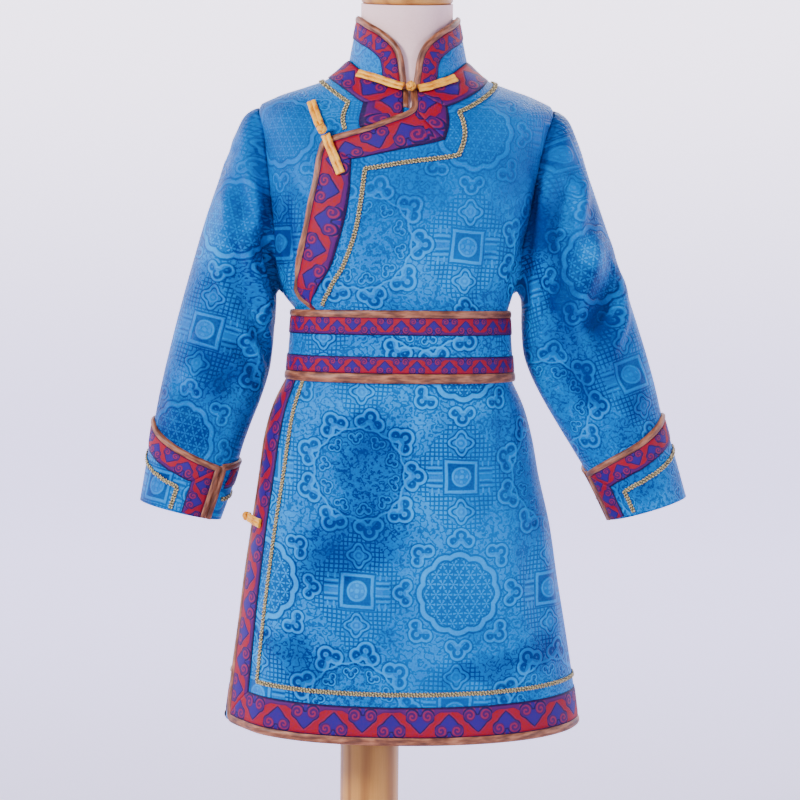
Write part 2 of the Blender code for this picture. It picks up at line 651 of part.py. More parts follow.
def make_outer_front(body):
    lap = lapped_edge(body)
    skirt = [(row["column"], row["row"]) for row in SKIRT_EDGE]
    hole = half_hole(1, True)
    outline = lap + skirt
    outline += [(SIDE - SEAM, 0), (SIDE - SEAM, ROW["underarm"])]
    outline += hole[1:-1]
    outline += [(SIDE - SEAM, ROW["tip"]), (SIDE - SEAM, TOP)]
    panel("outer_front", body, outline, lapped=True)

    over_belt = above(ROW["belt_top"] + TRIM_END)
    strip("piping_lap", body, lap, 0, PIPING_WIDTH, PIPING, "copper_satin", True,
          (over_belt, below(TOP - TRIM_END)))
    inset = shifted(body, lap, PIPING_WIDTH + GAP)
    shoulder = [(SIDE - SEAM, ROW["shoulder_1"] + RIBBON_SHOULDER), (SIDE - SEAM, TOP)]
    ribbon = inset + located(body, LAP_RIBBON)[::-1] + shoulder
    panel("ribbon_lap", body, ribbon, "ribbon", LAP, LAP + RIBBON, True,
          (over_belt, below(TOP - TRIM_END)))
    braid = [(SIDE - SEAM, ROW["shoulder_1"] - BRAID_SHOULDER)] + located(body, LAP_BRAID)
    strip("braid_lap", body, braid, -BRAID_WIDTH / 2, BRAID_WIDTH, BRAID, "gold_braid", True,
          (over_belt, ((SIDE - SEAM, 0), (1, 0))))

    hem = [(SIDE - SEAM, 0)]
    round_edge = skirt + hem
    sharp_edge = skirt[:-3] + [SKIRT_CORNER] + hem
    under_belt = below(ROW["belt_low"] - TRIM_END)
    for kind, start, width, thickness, finish in SKIRT_TRIMS:
        outer = round_edge if start < HEM_BRAID_START else sharp_edge
        inner = round_edge if start == 0 else sharp_edge
        strip(f"{kind}_skirt", body, outer, start, width, thickness, finish, True,
              (under_belt,), inner)


def make_inner_front(body):
    """The under flap: it shows beside the neck and reaches just past the centre."""
    hole = half_hole(-1, True)
    slit_top = (body.find(SLIT_X, 0.980)[0], TOP)
    slit_end = body.find(SLIT_X, SLIT_END_Z)
    turn = (UNDER_REACH, ROW["shoulder_2"] - UNDER_SHOULDER)
    outline = [slit_top, slit_end, turn, (UNDER_REACH, 0)]
    outline = outline[::-1] + [(-SIDE + SEAM, TOP), (-SIDE + SEAM, ROW["tip"])]
    outline += hole[1:-1][::-1]
    outline += [(-SIDE + SEAM, ROW["underarm"]), (-SIDE + SEAM, 0)]
    panel("inner_front", body, outline)

    slit = [(slit_top[0], TOP), slit_end]
    strip("piping_inner", body, slit[::-1], 0, INNER_PIPING_WIDTH, PIPING, "copper_satin",
          clip=(below(TOP - TRIM_END),))
    inset = shifted(body, slit[::-1], INNER_PIPING_WIDTH + GAP)
    lap = shifted(body, lapped_edge(body), -2 * GAP)
    stretch = [(i, j) for i, j in lap if -UNDER_REACH < i < slit_end[0] and j > ROW["tip"]]
    boundary = located(body, INNER_RIBBON)
    ribbon = inset[::-1] + stretch + boundary[::-1]
    ribbon += [(-SIDE + SEAM, ROW["shoulder_1"] + RIBBON_SHOULDER), (-SIDE + SEAM, TOP)]
    panel("ribbon_inner", body, ribbon, "ribbon", LAP, LAP + RIBBON, clip=(below(TOP - TRIM_END),))
    braid = [(-SIDE + SEAM, ROW["shoulder_1"] - BRAID_SHOULDER)] + located(body, INNER_BRAID)
    strip("braid_inner", body, braid, -BRAID_WIDTH / 2, BRAID_WIDTH, BRAID, "gold_braid",
          clip=(((-SIDE + SEAM, 0), (-1, 0)),))


def make_back(body):
    """The back runs from one side seam round to the other."""
    first, last = SIDE + SEAM, 3 * SIDE - SEAM
    outline = [(first, 0), (last, 0), (last, ROW["underarm"])]
    outline += [(2 * 2 * SIDE + i, j) for i, j in half_hole(-1, False)][1:-1]
    outline += [(last, ROW["tip"]), (last, TOP), (first, TOP), (first, ROW["tip"])]
    outline += half_hole(1, False)[1:-1][::-1]
    outline += [(first, ROW["underarm"])]
    panel("back", body, outline)

    hem = level(first, last, 0)
    for kind, start, width, thickness, finish in SKIRT_TRIMS:
        strip(f"{kind}_hem_back", body, hem, start, width, thickness, finish)
    neck = level(last, first, TOP)
    strip("ribbon_neck_back", body, neck, 0.0006, NECK_RIBBON_WIDTH, RIBBON, "ribbon")
    strip("braid_neck_back", body, neck, NECK_BRAID_START, BRAID_WIDTH, BRAID, "gold_braid")


def make_collar_pieces(collar):
    """The collar is one strip round the neck, with rounded front corners and a slit between."""
    last = collar.rows - 1
    left = [(i + COLUMNS, j) for i, j in located(collar, COLLAR_LEFT)]
    right = located(collar, COLLAR_RIGHT)
    edge = [(left[0][0], 0)] + left
    edge += resampled(level(COLUMNS - COLLAR_SHOULDER, COLLAR_SHOULDER, last), LONGEST)
    edge += right[::-1] + [(right[0][0], 0)]
    panel("collar", collar, edge)
    foot = (above(TRIM_END),)
    strip("piping_collar", collar, edge, 0, PIPING_WIDTH, PIPING, "copper_satin", clip=foot)
    strip("ribbon_collar", collar, edge, PIPING_WIDTH + GAP, COLLAR_RIBBON_WIDTH, RIBBON,
          "ribbon", clip=foot)


def make_belt(body):
    """A flat belt over both fronts; its ends meet at the centre back."""
    low, high = ROW["belt_low"], ROW["belt_top"]
    first, last = -2 * SIDE + SEAM, 2 * SIDE - SEAM
    outline = [(first, low), (last, low), (last, high), (first, high)]
    panel("belt", body, outline, low=LAP, high=LAP + WALL, lapped=True)
    edges = (("bottom", level(first, last, low), BELT_LOW_PIPING_WIDTH),
             ("top", level(last, first, high), BELT_TOP_PIPING_WIDTH))
    for place, edge, piping in edges:
        edge = resampled(edge, LONGEST)
        trims = (("piping", 0, piping, PIPING, "copper_satin"),
                 ("ribbon", piping + GAP, BELT_RIBBON_WIDTH, RIBBON, "ribbon"))
        for kind, start, width, thickness, finish in trims:
            near, far = shifted(body, edge, start), shifted(body, edge, start + width)
            panel(f"{kind}_belt_{place}", body, near + far[::-1], finish, 2 * LAP,
                  2 * LAP + thickness, True)


def make_sleeve_pieces(name, body, side, rings, cuff):
    sleeve = make_sleeve(body, side, rings)
    mouth = sleeve.rows - 1
    panel(f"sleeve_{name}", sleeve, [(SEAM, 0), (SLEEVE_COLUMNS - SEAM, 0),
                                     (SLEEVE_COLUMNS - SEAM, mouth), (SEAM, mouth)])
    top = [(row["column"], sleeve.row_below(row["column"], row["height"])) for row in cuff]
    opening = SEAM * 3
    top[0] = (top[0][0] + opening, top[0][1])
    top[-1] = (top[-1][0] - opening, top[-1][1])
    edge = [(top[0][0], mouth)] + top + [(top[-1][0], mouth)]
    panel(f"cuff_{name}", sleeve, edge, low=LAP, high=LAP + WALL)
    low = 2 * LAP
    for kind, start, width, thickness, finish in CUFF_TRIMS:
        front_first = side < 0
        path = edge if start == 0 else edge[:-1] if front_first else edge[1:]
        near, far = shifted(sleeve, path, start), shifted(sleeve, path, start + width)
        clip = (below(mouth - SEAM),)
        if start:
            end, way = (top[-1][0] - CUFF_END, 1) if front_first else (top[0][0] + CUFF_END, -1)
            clip += (((end, 0), (way, 0)),)
        panel(f"{kind}_cuff_{name}", sleeve, near + far[::-1], finish, low, low + thickness,
              clip=clip)


def place_on(surfaces, x, z, stand):
    """A point that stands off the first surface that lies at x and z, and where it faces."""
    for surface in surfaces:
        place = surface.find(x, z)
        if place is not None:
            return surface.drape(*place, stand), surface.normal(*place)
    raise ValueError(f"nothing at {x}, {z}")


def add_arm(name, stops):
    """A flat bar of cord through stops, each a point and the direction it faces."""
    points, faces = [], []
    for number, (point, normal) in enumerate(stops):
        before, after = stops[max(number - 1, 0)][0], stops[min(number + 1, len(stops) - 1)][0]
        along = (after - before) / np.linalg.norm(after - before)
        across = np.cross(normal, along)
        across = across / np.linalg.norm(across) * FROG_WIDTH / 2
        out = np.cross(along, across)
        out = out / np.linalg.norm(out) * CORD / 2
        points += [point - across - out, point + across - out, point + across + out,
                   point - across + out]
    for ring in range(len(stops) - 1):
        for side in range(4):
            a, b = 4 * ring + side, 4 * ring + (side + 1) % 4
            faces.append([a, b, b + 4, a + 4])
    last = 4 * (len(stops) - 1)
    faces += [[3, 2, 1, 0], [last, last + 1, last + 2, last + 3]]
    add_object(name, points, faces, "yellow_satin")


def add_knot(name, centre):
    knot = bmesh.new()
    bmesh.ops.create_uvsphere(knot, u_segments=10, v_segments=6, radius=KNOT_RADIUS)
    mesh = bpy.data.meshes.new(name)
    knot.to_mesh(mesh)
    knot.free()
    mesh.materials.append(bpy.data.materials["yellow_satin"])
    mesh.shade_smooth()
    made = bpy.data.objects.new(name, mesh)
    made.location = centre
    bpy.context.scene.collection.objects.link(made)


def make_frogs(body, collar):
    """Each fastening has an arm on either side and a knot between them."""
    arms = (("collar_left", COLLAR_FROG), ("collar_right", COLLAR_FROG_RIGHT),
            ("chest_upper", CHEST_FROG), ("chest_lower", CHEST_FROG_LOWER))
    for name, rows in arms:
        stops = [place_on((body, collar), row["x"], row["z"], row["stand"]) for row in rows]
        add_arm(f"frog_{name}", stops)
    add_knot("frog_collar_knot", place_on((body, collar), *COLLAR_KNOT)[0])
    add_knot("frog_chest_knot", place_on((body, collar), *CHEST_KNOT)[0])
    stops = [(body.drape(row["column"], row["row"], row["stand"]),
              body.normal(row["column"], row["row"])) for row in SIDE_FROG]
    add_arm("frog_side_arm", stops)
    add_knot("frog_side_knot", body.drape(*SIDE_KNOT))


def add_lathe(name, profile, centre, finish, tilt=0.0, segments=32):
    """A turned piece: its profile's radii and heights, spun round and closed at both ends."""
    points, faces = [], []
    for radius, height in profile:
        for step in range(segments):
            turn = 2 * math.pi * step / segments
            points.append((radius * math.cos(turn), radius * math.sin(turn), height))
    for ring in range(len(profile) - 1):
        for step in range(segments):
            after = (step + 1) % segments
            a, b = ring * segments + step, ring * segments + after
            faces.append([a, b, b + segments, a + segments])
    faces.append(list(range(segments))[::-1])
    faces.append([(len(profile) - 1) * segments + step for step in range(segments)])
    made = add_object(name, points, faces, finish)
    made.location = centre
    made.rotation_euler = (tilt, 0, 0)
    return made


def make_form(body, collar):
    """The dress form: hips, then the robe's own form a little way in, then the neck."""
    rings = [np.array(ring_points(ring)) for ring in HIP_RINGS]
    rows = [ROW[row["ring"]] for row in FORM_GAPS]
    gaps = [row["gap"] for row in FORM_GAPS]
    for row in range(ROW["belt_low"], TOP + 1):
        gap = np.interp(row, rows, gaps)
        rings.append(body.points[row] - gap * body.normals[row])
    rings.append(collar.points[1] - COLLAR_CLEARANCE * collar.normals[1])
    neck = [(CAP_RADIUS * math.sin(2 * math.pi * i / COLUMNS),
             -CAP_RADIUS * math.cos(2 * math.pi * i / COLUMNS)) for i in range(COLUMNS)]
    for height in (NECK_TOP - NECK_LENGTH, NECK_TOP):
        rings.append(np.array([(x, y, height + y * math.tan(NECK_TILT)) for x, y in neck]))
    points = np.concatenate(rings)
    faces = []
    for ring in range(len(rings) - 1):
        for column in range(COLUMNS):
            after = (column + 1) % COLUMNS
            a, b = ring * COLUMNS + column, ring * COLUMNS + after
            faces += [[a, b, b + COLUMNS], [a, b + COLUMNS, a + COLUMNS]]
    last = (len(rings) - 1) * COLUMNS
    faces.append(list(range(COLUMNS))[::-1])
    faces.append([last + column for column in range(COLUMNS)])
    add_object("form_torso", points, faces, "form_cover")


def make_stand():
    lift = GAP / math.cos(NECK_TILT)
    cap = [(CAP_RADIUS, 0), (CAP_RADIUS, CAP_HEIGHT * 0.75), (CAP_RADIUS * 0.93, CAP_HEIGHT)]
    add_lathe("neck_cap", cap, (0, 0, NECK_TOP + lift), "pale_wood", tilt=NECK_TILT)
    post = [(POST_RADIUS, 0), (POST_RADIUS, FORM_BOTTOM - BASE_HEIGHT - 2 * GAP)]
    add_lathe("post", post, (POST_X, 0, BASE_HEIGHT + GAP), "pale_wood")
    inner, upper = BASE_RADIUS - BASE_EDGE, BASE_HEIGHT - BASE_EDGE
    base = [(inner, 0), (BASE_RADIUS, BASE_EDGE), (BASE_RADIUS, upper), (inner, BASE_HEIGHT)]
    add_lathe("base", base, (POST_X, 0, 0), "pale_wood", segments=44)


def main():
    for old in list(bpy.data.objects):
        bpy.data.objects.remove(old)
    for row in FINISHES:
        make_finish(**row)
    body = make_body()
    collar = make_collar(body)
    make_outer_front(body)
    make_inner_front(body)
    make_back(body)
    make_collar_pieces(collar)
    make_belt(body)
    make_sleeve_pieces("left", body, -1, LEFT_SLEEVE, LEFT_CUFF)
    make_sleeve_pieces("right", body, 1, RIGHT_SLEEVE, RIGHT_CUFF)
    make_frogs(body, collar)
    make_form(body, collar)
    make_stand()


main()
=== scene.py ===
# A child's Mongolian deel robe on a limbless dress form with a wooden post.
# Metres unless a note says otherwise, +Z up, the front faces -Y. Cloth is cut on a flat pattern and
# draped on smooth skins.
import math

import bmesh
import bpy
import numpy as np
from mathutils import Euler, Matrix


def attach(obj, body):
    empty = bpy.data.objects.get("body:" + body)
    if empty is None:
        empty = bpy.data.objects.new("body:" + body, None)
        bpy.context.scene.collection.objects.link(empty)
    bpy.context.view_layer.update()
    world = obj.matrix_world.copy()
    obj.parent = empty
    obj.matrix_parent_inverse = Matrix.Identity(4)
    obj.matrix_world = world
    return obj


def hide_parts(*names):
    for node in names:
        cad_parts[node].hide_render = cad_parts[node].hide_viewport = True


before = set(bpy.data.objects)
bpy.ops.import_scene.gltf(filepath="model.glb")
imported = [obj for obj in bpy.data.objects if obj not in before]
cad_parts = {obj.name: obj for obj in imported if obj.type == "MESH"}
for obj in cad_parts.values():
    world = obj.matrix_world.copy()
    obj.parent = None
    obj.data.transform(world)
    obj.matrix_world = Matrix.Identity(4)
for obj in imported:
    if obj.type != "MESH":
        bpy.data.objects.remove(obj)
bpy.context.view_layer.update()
fine = 1.0  # how densely the meshes are made


def mm(values):
    # Millimetres as metres, through any depth of rows.
    return tuple(mm(value) if isinstance(value, tuple) else value / 1000 for value in values)


def placed(name, data):
    made = bpy.data.objects.new(name, data)
    bpy.context.scene.collection.objects.link(made)
    return made


def meshOf(flat, name):
    mesh = bpy.data.meshes.new(name)
    flat.to_mesh(mesh)
    flat.free()
    return mesh


def spun(profile, steps, flip=False, merge=1e-6):
    # A profile of radii and heights turned round the z axis.
    flat = bmesh.new()
    verts = [flat.verts.new((radius, 0, height)) for radius, height in profile]
    edges = [flat.edges.new(pair) for pair in zip(verts, verts[1:])]
    bmesh.ops.spin(flat, geom=verts + edges, cent=(0, 0, 0), axis=(0, 0, 1), dvec=(0, 0, 0),
                   angle=2 * math.pi, steps=steps, use_merge=True, use_normal_flip=flip,
                   use_duplicate=False)
    bmesh.ops.remove_doubles(flat, verts=flat.verts, dist=merge)
    return flat


# ---- camera, room and lights

view = {"place": (-0.003, -2.0, 0.79), "drop": 0.11, "distance": 2.0, "roll": 0.6, "frame": 0.8,
        "sensor": 36}


def makeCamera():
    data = bpy.data.cameras.new("camera")
    reach = math.hypot(view["distance"], view["drop"])
    data.sensor_width, data.lens = view["sensor"], view["sensor"] * reach / view["frame"]
    camera = placed("camera", data)
    turn = Euler((math.pi / 2 - math.atan2(view["drop"], view["distance"]), 0, 0)).to_matrix()
    camera.matrix_world = (Matrix.Translation(view["place"]) @ turn.to_4x4()
                           @ Matrix.Rotation(math.radians(view["roll"]), 4, "Z"))
    bpy.context.scene.camera = camera


room = {
    "floor": 4.0, "bend": 2.2, "height": 6.5, "around": 72, "upward": 16,
    "sky": (0.93, 0.94, 1.0, 1), "world": 0.05,
    "lights": (
        # name, place, what it looks at, size, watts, colour
        ("key", (-1.9, -1.9, 1.9), (0, 0, 0.72), 0.6, 102, (1.0, 0.985, 0.97)),
        ("fill", (2.1, -1.7, 1.0), (0, 0, 0.72), 0.9, 22, (0.95, 0.97, 1.0)),
        ("rim", (0.9, 1.3, 2.2), (0, 0, 0.8), 0.9, 18, (1.0, 1.0, 1.0)),
    ),
}


def makeRoom():
    # A round studio whose floor sweeps up into its wall, so that every side has a plain ground.
    floor, bend = room["floor"], room["bend"]
    profile = [(0.0, 0.0), (floor * 0.5, 0.0)]
    for n in range(room["upward"] + 1):
        turn = math.pi / 2 * n / room["upward"]
        profile.append((floor + bend * math.sin(turn), bend * (1 - math.cos(turn))))
    profile.append((floor + bend, room["height"]))
    mesh = meshOf(spun(profile, room["around"], True, 1e-5), "backdrop")
    mesh.shade_smooth()
    screen = placed("backdrop", mesh)
    mesh.materials.append(finishes["backdrop"])
    for name, place, target, size, watts, colour in room["lights"]:
        data = bpy.data.lights.new(name, "AREA")
        data.shape, data.size, data.energy, data.color = "DISK", size, watts, colour
        lamp = placed(name, data)
        aim = np.subtract(target, place)
        lamp.location = place
        pitch = math.atan2(math.hypot(aim[0], aim[1]), -aim[2])
        lamp.rotation_euler = (pitch, 0, math.atan2(-aim[0], aim[1]))
    world = bpy.data.worlds.new("studio")
    bpy.context.scene.world = world
    world.use_nodes = True
    sky = world.node_tree.nodes["Background"].inputs
    sky["Color"].default_value, sky["Strength"].default_value = room["sky"], room["world"]


# ---- shader maths

class Wire:
    # One output of a material's nodes. Sums on wires add Math nodes; node() adds any other.
    def __init__(self, tree, socket=None):
        self.tree, self.socket = tree, socket

    def node(self, kind, settings=None, values=None, out=0):
        made = self.tree.nodes.new(kind)
        for name, value in (settings or {}).items():
            if name == "stops":
                while len(made.color_ramp.elements) < len(value):
                    made.color_ramp.elements.new(1.0)
                for element, (place, colour) in zip(made.color_ramp.elements, value):
                    element.position, element.color = place, (*colour, 1.0)
            else:
                setattr(made, name, value)
        for key, value in (values or {}).items():
            if isinstance(value, Wire):
                self.tree.links.new(value.socket, made.inputs[key])
            else:
                made.inputs[key].default_value = value
        return Wire(self.tree, made.outputs[out])

    def math(self, operation, *others):
        return self.node("ShaderNodeMath", {"operation": operation}, dict(enumerate((self,) + others)))

    def __add__(self, other):
        return self.math("ADD", other)

    __radd__ = __add__

    def __sub__(self, other):
        return self.math("SUBTRACT", other)

    def __rsub__(self, other):
        return self.node("ShaderNodeMath", {"operation": "SUBTRACT"}, {0: other, 1: self})

    def __mul__(self, other):
        return self.math("MULTIPLY", other)

    __rmul__ = __mul__

    def __truediv__(self, other):
        return self.math("DIVIDE", other)

    def __rtruediv__(self, other):
        return self.node("ShaderNodeMath", {"operation": "DIVIDE"}, {0: other, 1: self})

    def __pow__(self, other):
        return self.math("POWER", other)

    def __abs__(self):
        return self.math("ABSOLUTE")

    def sine(self):
        return self.math("SINE")

    def cosine(self):
        return self.math("COSINE")

    def angle(self, x):  # of the place at x and this
        return self.math("ARCTAN2", x)

    def least(self, other):
        return self.math("MINIMUM", other)

    def most(self, other):
        return self.math("MAXIMUM", other)

    def wrap(self, size):
        return self.math("WRAP", size / 2, -size / 2)

    def rise(self, low, high):  # 0 below low, 1 above high, soft between
        return self.node("ShaderNodeMapRange", {"interpolation_type": "SMOOTHSTEP"},
                         {0: self, 1: low, 2: high})

    def fall(self, low, high):
        return 1 - self.rise(low, high)

    def line(self, half, soft):  # 1 where the distance is near 0
        return abs(self).fall(half - soft, half + soft)

    def pick(self, low, high):  # a number between two, by this share
        return self.node("ShaderNodeMix", {"data_type": "FLOAT"}, {0: self, 2: low, 3: high})

    def tint(self, low, high):  # a colour between two, by this share
        ends = [(*end, 1.0) if isinstance(end, tuple) else end for end in (low, high)]
        return self.node("ShaderNodeMix", {"data_type": "RGBA"}, {0: self, 6: ends[0], 7: ends[1]},
                         out=2)

    def noise(self, scale, detail=2.0, rough=0.5, out=0):
        values = {"Vector": self, "Scale": scale, "Detail": detail, "Roughness": rough}
        return self.node("ShaderNodeTexNoise", None, values, out)

    def ramp(self, *stops):  # a colour from places and colours along this
        return self.node("ShaderNodeValToRGB", {"stops": stops}, {0: self})

    def stretched(self, *sizes):
        return self.node("ShaderNodeVectorMath", {"operation": "MULTIPLY"}, {0: self, 1: sizes})

    def parts(self):
        split = self.node("ShaderNodeSeparateXYZ", None, {0: self})
        outputs = split.socket.node.outputs
        return [Wire(self.tree, outputs[n]) for n in range(3)]


def length(x, y):
    flat = x.node("ShaderNodeCombineXYZ", None, {0: x, 1: y})
    return flat.node("ShaderNodeVectorMath", {"operation": "LENGTH"}, {0: flat}, out=1)


finishes = {}


class Finish:
    # A material under way: its coordinates, and what goes into its shader.
    def __init__(self, name, colour, **constants):
        self.material = bpy.data.materials.new(name)
        self.material.use_nodes = True
        self.material.diffuse_color = (*colour, 1.0)
        self.tree = self.material.node_tree
        self.shader = self.tree.nodes["Principled BSDF"]
        for key, value in constants.items():
            self.shader.inputs[key.replace("_", " ")].default_value = value
        self.start = Wire(self.tree)
        finishes[name] = self.material

    def cloth(self):  # the piece's own layout: x across, y along
        return self.start.node("ShaderNodeUVMap", {"uv_map": "cloth"})

    def solid(self):
        return self.start.node("ShaderNodeTexCoord", out=3)

    def link(self, key, wire):
        self.tree.links.new(wire.socket, self.shader.inputs[key])

    def feed(self, colour, roughness, height, depth, strength):
        self.link("Base Color", colour)
        self.link("Roughness", roughness)
        values = {"Strength": strength, "Distance": depth, "Height": height}
        self.link("Normal", height.node("ShaderNodeBump", None, values))


brocade = {
    "repeat": (0.194, 0.224), "roughness": 0.42,
    # in millimetres: the medallion's rim, its lobes and the step of its flowers; how far out the
    # clouds and the small curls lie
    "rim": 35.0, "lobes": 2.9, "petals": (10.8, 18.7), "clouds": 53.0, "curls": 34.0,
    # where the pattern's middle lies on each piece's own layout
    "shifts": {"outer_front": (0.16, 0.065), "inner_front": (0.16, 0.065), "back": (0.01, 0.058),
               "collar": (0.097, 0.074), "belt": (0.022, 0.077), "sleeve_left": (0.046, 0.403),
               "sleeve_right": (-0.06, 0.132), "cuff_left": (0.06, 0.02),
               "cuff_right": (0.06, 0.02)},
    "dark": (0.0, 0.022, 0.16), "ground": (0.0, 0.146, 0.48), "light": (0.0, 0.45, 0.98),
    "gloss": (0.0, 0.55, 1.0, 1.0),
    # painted shade and painted highlights, where the satin turns away from the light or to it: x, z,
    # half width and half height in millimetres, lean, share
    "paintedPatches": (
        (-18, 655, 34, 30, 0.0, -0.2), (-32, 613, 36, 52, 0.3, -0.25),
        (-40, 550, 64, 30, 0.1, -0.24), (-75, 522, 38, 22, 0.3, -0.18),
        (-112, 440, 52, 22, -0.5, -0.28), (78, 428, 44, 15, 0.2, -0.24),
        (134, 440, 24, 26, 0.0, -0.26), (-124, 846, 16, 50, 0.1, -0.34),
        (-176, 716, 34, 30, -0.5, -0.26), (124, 852, 14, 60, 0.1, -0.32),
        (150, 806, 13, 85, 0.2, -0.28), (192, 764, 20, 50, 0.3, -0.36),
        (176, 700, 28, 18, -0.7, -0.24), (-108, 866, 14, 42, 0.0, -0.24),
        (6, 910, 150, 55, 0.0, -0.13), (-218, 650, 34, 34, 0.3, -0.14),
        (226, 690, 22, 40, 0.3, -0.12), (10, 678, 110, 20, 0.0, 0.14), (36, 806, 70, 26, 0.1, 0.18),
        (-182, 832, 16, 62, 0.25, 0.22), (172, 852, 13, 60, 0.3, 0.22),
        (60, 540, 70, 80, 0.0, 0.12), (-120, 580, 26, 60, 0.1, 0.14)),
}


def cloudLines(out, across, size):
    # A cloud with a rounded head and two curled feet, from how far out and across a place lies:
    # its light outline, its dark hooks, and the ground under it.
    footX, footY = out + 2.6 * size, across - 6.9 * size
    foot = length(footX, footY) - 5.2 * size
    edge = (length(out - 2.9 * size, across) - 6.6 * size).math("SMOOTH_MIN", foot, 1.4 * size)
    kept = (footX + footY).rise(-3.0 * size, -1.8 * size)
    light = edge.line(1.05 * size, 0.45) + (edge + 5.0 * size).line(0.6 * size, 0.4) * kept * 0.6
    hook = (edge + 2.9 * size).line(1.25 * size, 0.45) * kept
    curl = (foot + 4.6 * size).line(1.1 * size, 0.4) * (footY - footX).rise(-2.0 * size, 0.5 * size)
    return light, hook + curl + (edge - 1.9 * size).line(0.6 * size, 0.4), edge.fall(1.7, 2.6)


def makeBrocade(name, strength):
    # Tone-on-tone satin: lobed medallions and cloud rings in a half-drop, with squares, bars,
    # small flowers and lattice between them. Lengths here are millimetres.
    finish = Finish(name, brocade["ground"], Specular_IOR_Level=0.26,
                    Specular_Tint=brocade["gloss"], Anisotropic=0.35)
    wide, tall = (size * 1000 for size in brocade["repeat"])
    place = finish.cloth()
    wobble = place.noise(30.0, 2.0, 0.5, out=1)
    wx, wy, _ = wobble.parts()
    u, v, _ = place.parts()
    x = u * 1000 + (wx - 0.5) * 3.6
    y = v * 1000 + (wy - 0.5) * 3.6
    px, py = x.wrap(wide), y.wrap(tall)                      # round a cloud ring
    qx, qy = (x - wide / 2).wrap(wide), (y - tall / 2).wrap(tall)   # round a medallion
    worm = (place.noise(105.0, 2.0, 0.55) * 34.0).sine()       # a close curling filling

    # the medallion: twelve lobes, a broad light rim, and six-petalled flowers inside
    r = length(qx, qy)
    turn = qy.angle(qx)
    edge = r - abs((turn * 6).cosine()) * brocade["lobes"]
    apart = edge - brocade["rim"]
    rim = apart.line(2.3, 0.6)
    rimDark = (apart - 3.5).line(0.95, 0.4) + (apart + 3.6).line(0.8, 0.4)
    inside = apart.fall(-4.4, -3.6)
    stepX, stepY = brocade["petals"]
    ax, ay = qx.wrap(stepX), qy.wrap(stepY)
    bx, by = (qx - stepX / 2).wrap(stepX), (qy - stepY / 2).wrap(stepY)
    near = length(ax, ay).math("LESS_THAN", length(bx, by))
    fx, fy = near.pick(bx, ax), near.pick(by, ay)
    core, spin = length(fx, fy), fy.angle(fx)
    petals = (spin * 6).cosine().rise(-0.2, 0.3) * (core - 3.2).line(1.6, 0.4)
    fill = (petals + core.fall(0.8, 1.2)) * inside
    fillDark = inside * (1 - petals) * core.rise(1.1, 1.6)

    # eight clouds round it
    slot = turn.wrap(2 * math.pi / 8)
    clouds, cloudDark, underCloud = cloudLines(
        r * slot.cosine() - brocade["clouds"], abs(r * slot.sine()), 1.0)

    # the cloud ring: big clouds outside, small ones inside, a curling ground in the middle
    s = length(px, py)
    angle = py.angle(px)
    lobe = angle.wrap(2 * math.pi / 9)
    ring, ringDark, underRing = cloudLines(
        s * lobe.cosine() - brocade["clouds"], abs(s * lobe.sine()), 1.12)
    small = (angle + 0.2).wrap(2 * math.pi / 10)
    curls, curlDark, underCurl = cloudLines(
        brocade["curls"] - s * small.cosine(), abs(s * small.sine()), 0.58)
    scallop = s + (angle * 18).cosine() * 0.7
    band, bandDark = (scallop - 43.5).line(0.9, 0.4), (scallop - 41.4).line(0.6, 0.4)
    swirl = (place.noise(150.0, 3.0, 0.6) * 26.0).sine()
    middle = swirl.rise(-0.1, 0.6) * s.fall(27.5, 29.0)
    middleDark = swirl.fall(-0.8, -0.3) * s.fall(27.5, 29.0)

    # squares with a coin in them, bars to both sides, blossoms above and below, lattice round
    first = (abs(qx) + abs(py)).math("LESS_THAN", abs(px) + abs(qy))
    a, b = first.pick(abs(px), abs(qx)), first.pick(abs(qy), abs(py))
    square, coin = a.most(b), length(a, b)
    squares = (square - 14.4).line(1.3, 0.4) + (coin - 8.6).line(0.9, 0.5) + coin.fall(1.6, 2.6)
    cross = (b.angle(a) * 4).cosine().rise(0.2, 0.7)
    squares = squares + (coin - 5.0).line(1.3, 0.5) * cross
    squareDark = square.fall(12.4, 13.0) * coin.rise(9.6, 10.4) + (square - 16.9).line(0.6, 0.4)
    along = (a - 24.5).line(6.6, 0.4)
    bars = ((b - 3.4).line(0.9, 0.4) + (b - 8.6).line(1.0, 0.4)) * along
    bars = bars + ((a - 21.5).line(0.9, 0.4) + (a - 27.5).line(0.9, 0.4)) * (b - 13.4).line(2.6, 0.4)
    barDark = ((b - 6.0).line(0.8, 0.4) + (b - 11.2).line(0.7, 0.4)) * along
    flower, petal = length(a, b - 33.0), (b - 33.0).angle(a)
    bloom = flower - (petal * 4).cosine() * 1.9
    blossom = (bloom - 9.4).line(1.0, 0.5) + (flower - 4.6).line(0.9, 0.5) + flower.fall(1.3, 2.0)
    blossomDark = (bloom - 11.4).line(0.7, 0.4) + (bloom - 7.0).line(0.7, 0.4)
    free = (1 - underCloud) * (1 - underRing) * r.rise(40.5, 41.5) * s.rise(45.5, 46.5)
    around = square.rise(17.6, 18.4) * flower.rise(12.6, 13.4) * (1 - along * b.fall(15.0, 15.6)) * free
    lattice = around * (a + b * 0.8).fall(52.0, 53.5)
    holes = x.wrap(4.3).line(1.45, 0.4) * y.wrap(4.3).line(1.45, 0.4)
    filling = around * (1 - lattice) + s.fall(43.0, 44.0) * s.rise(27.5, 29.0) * (1 - underCurl)

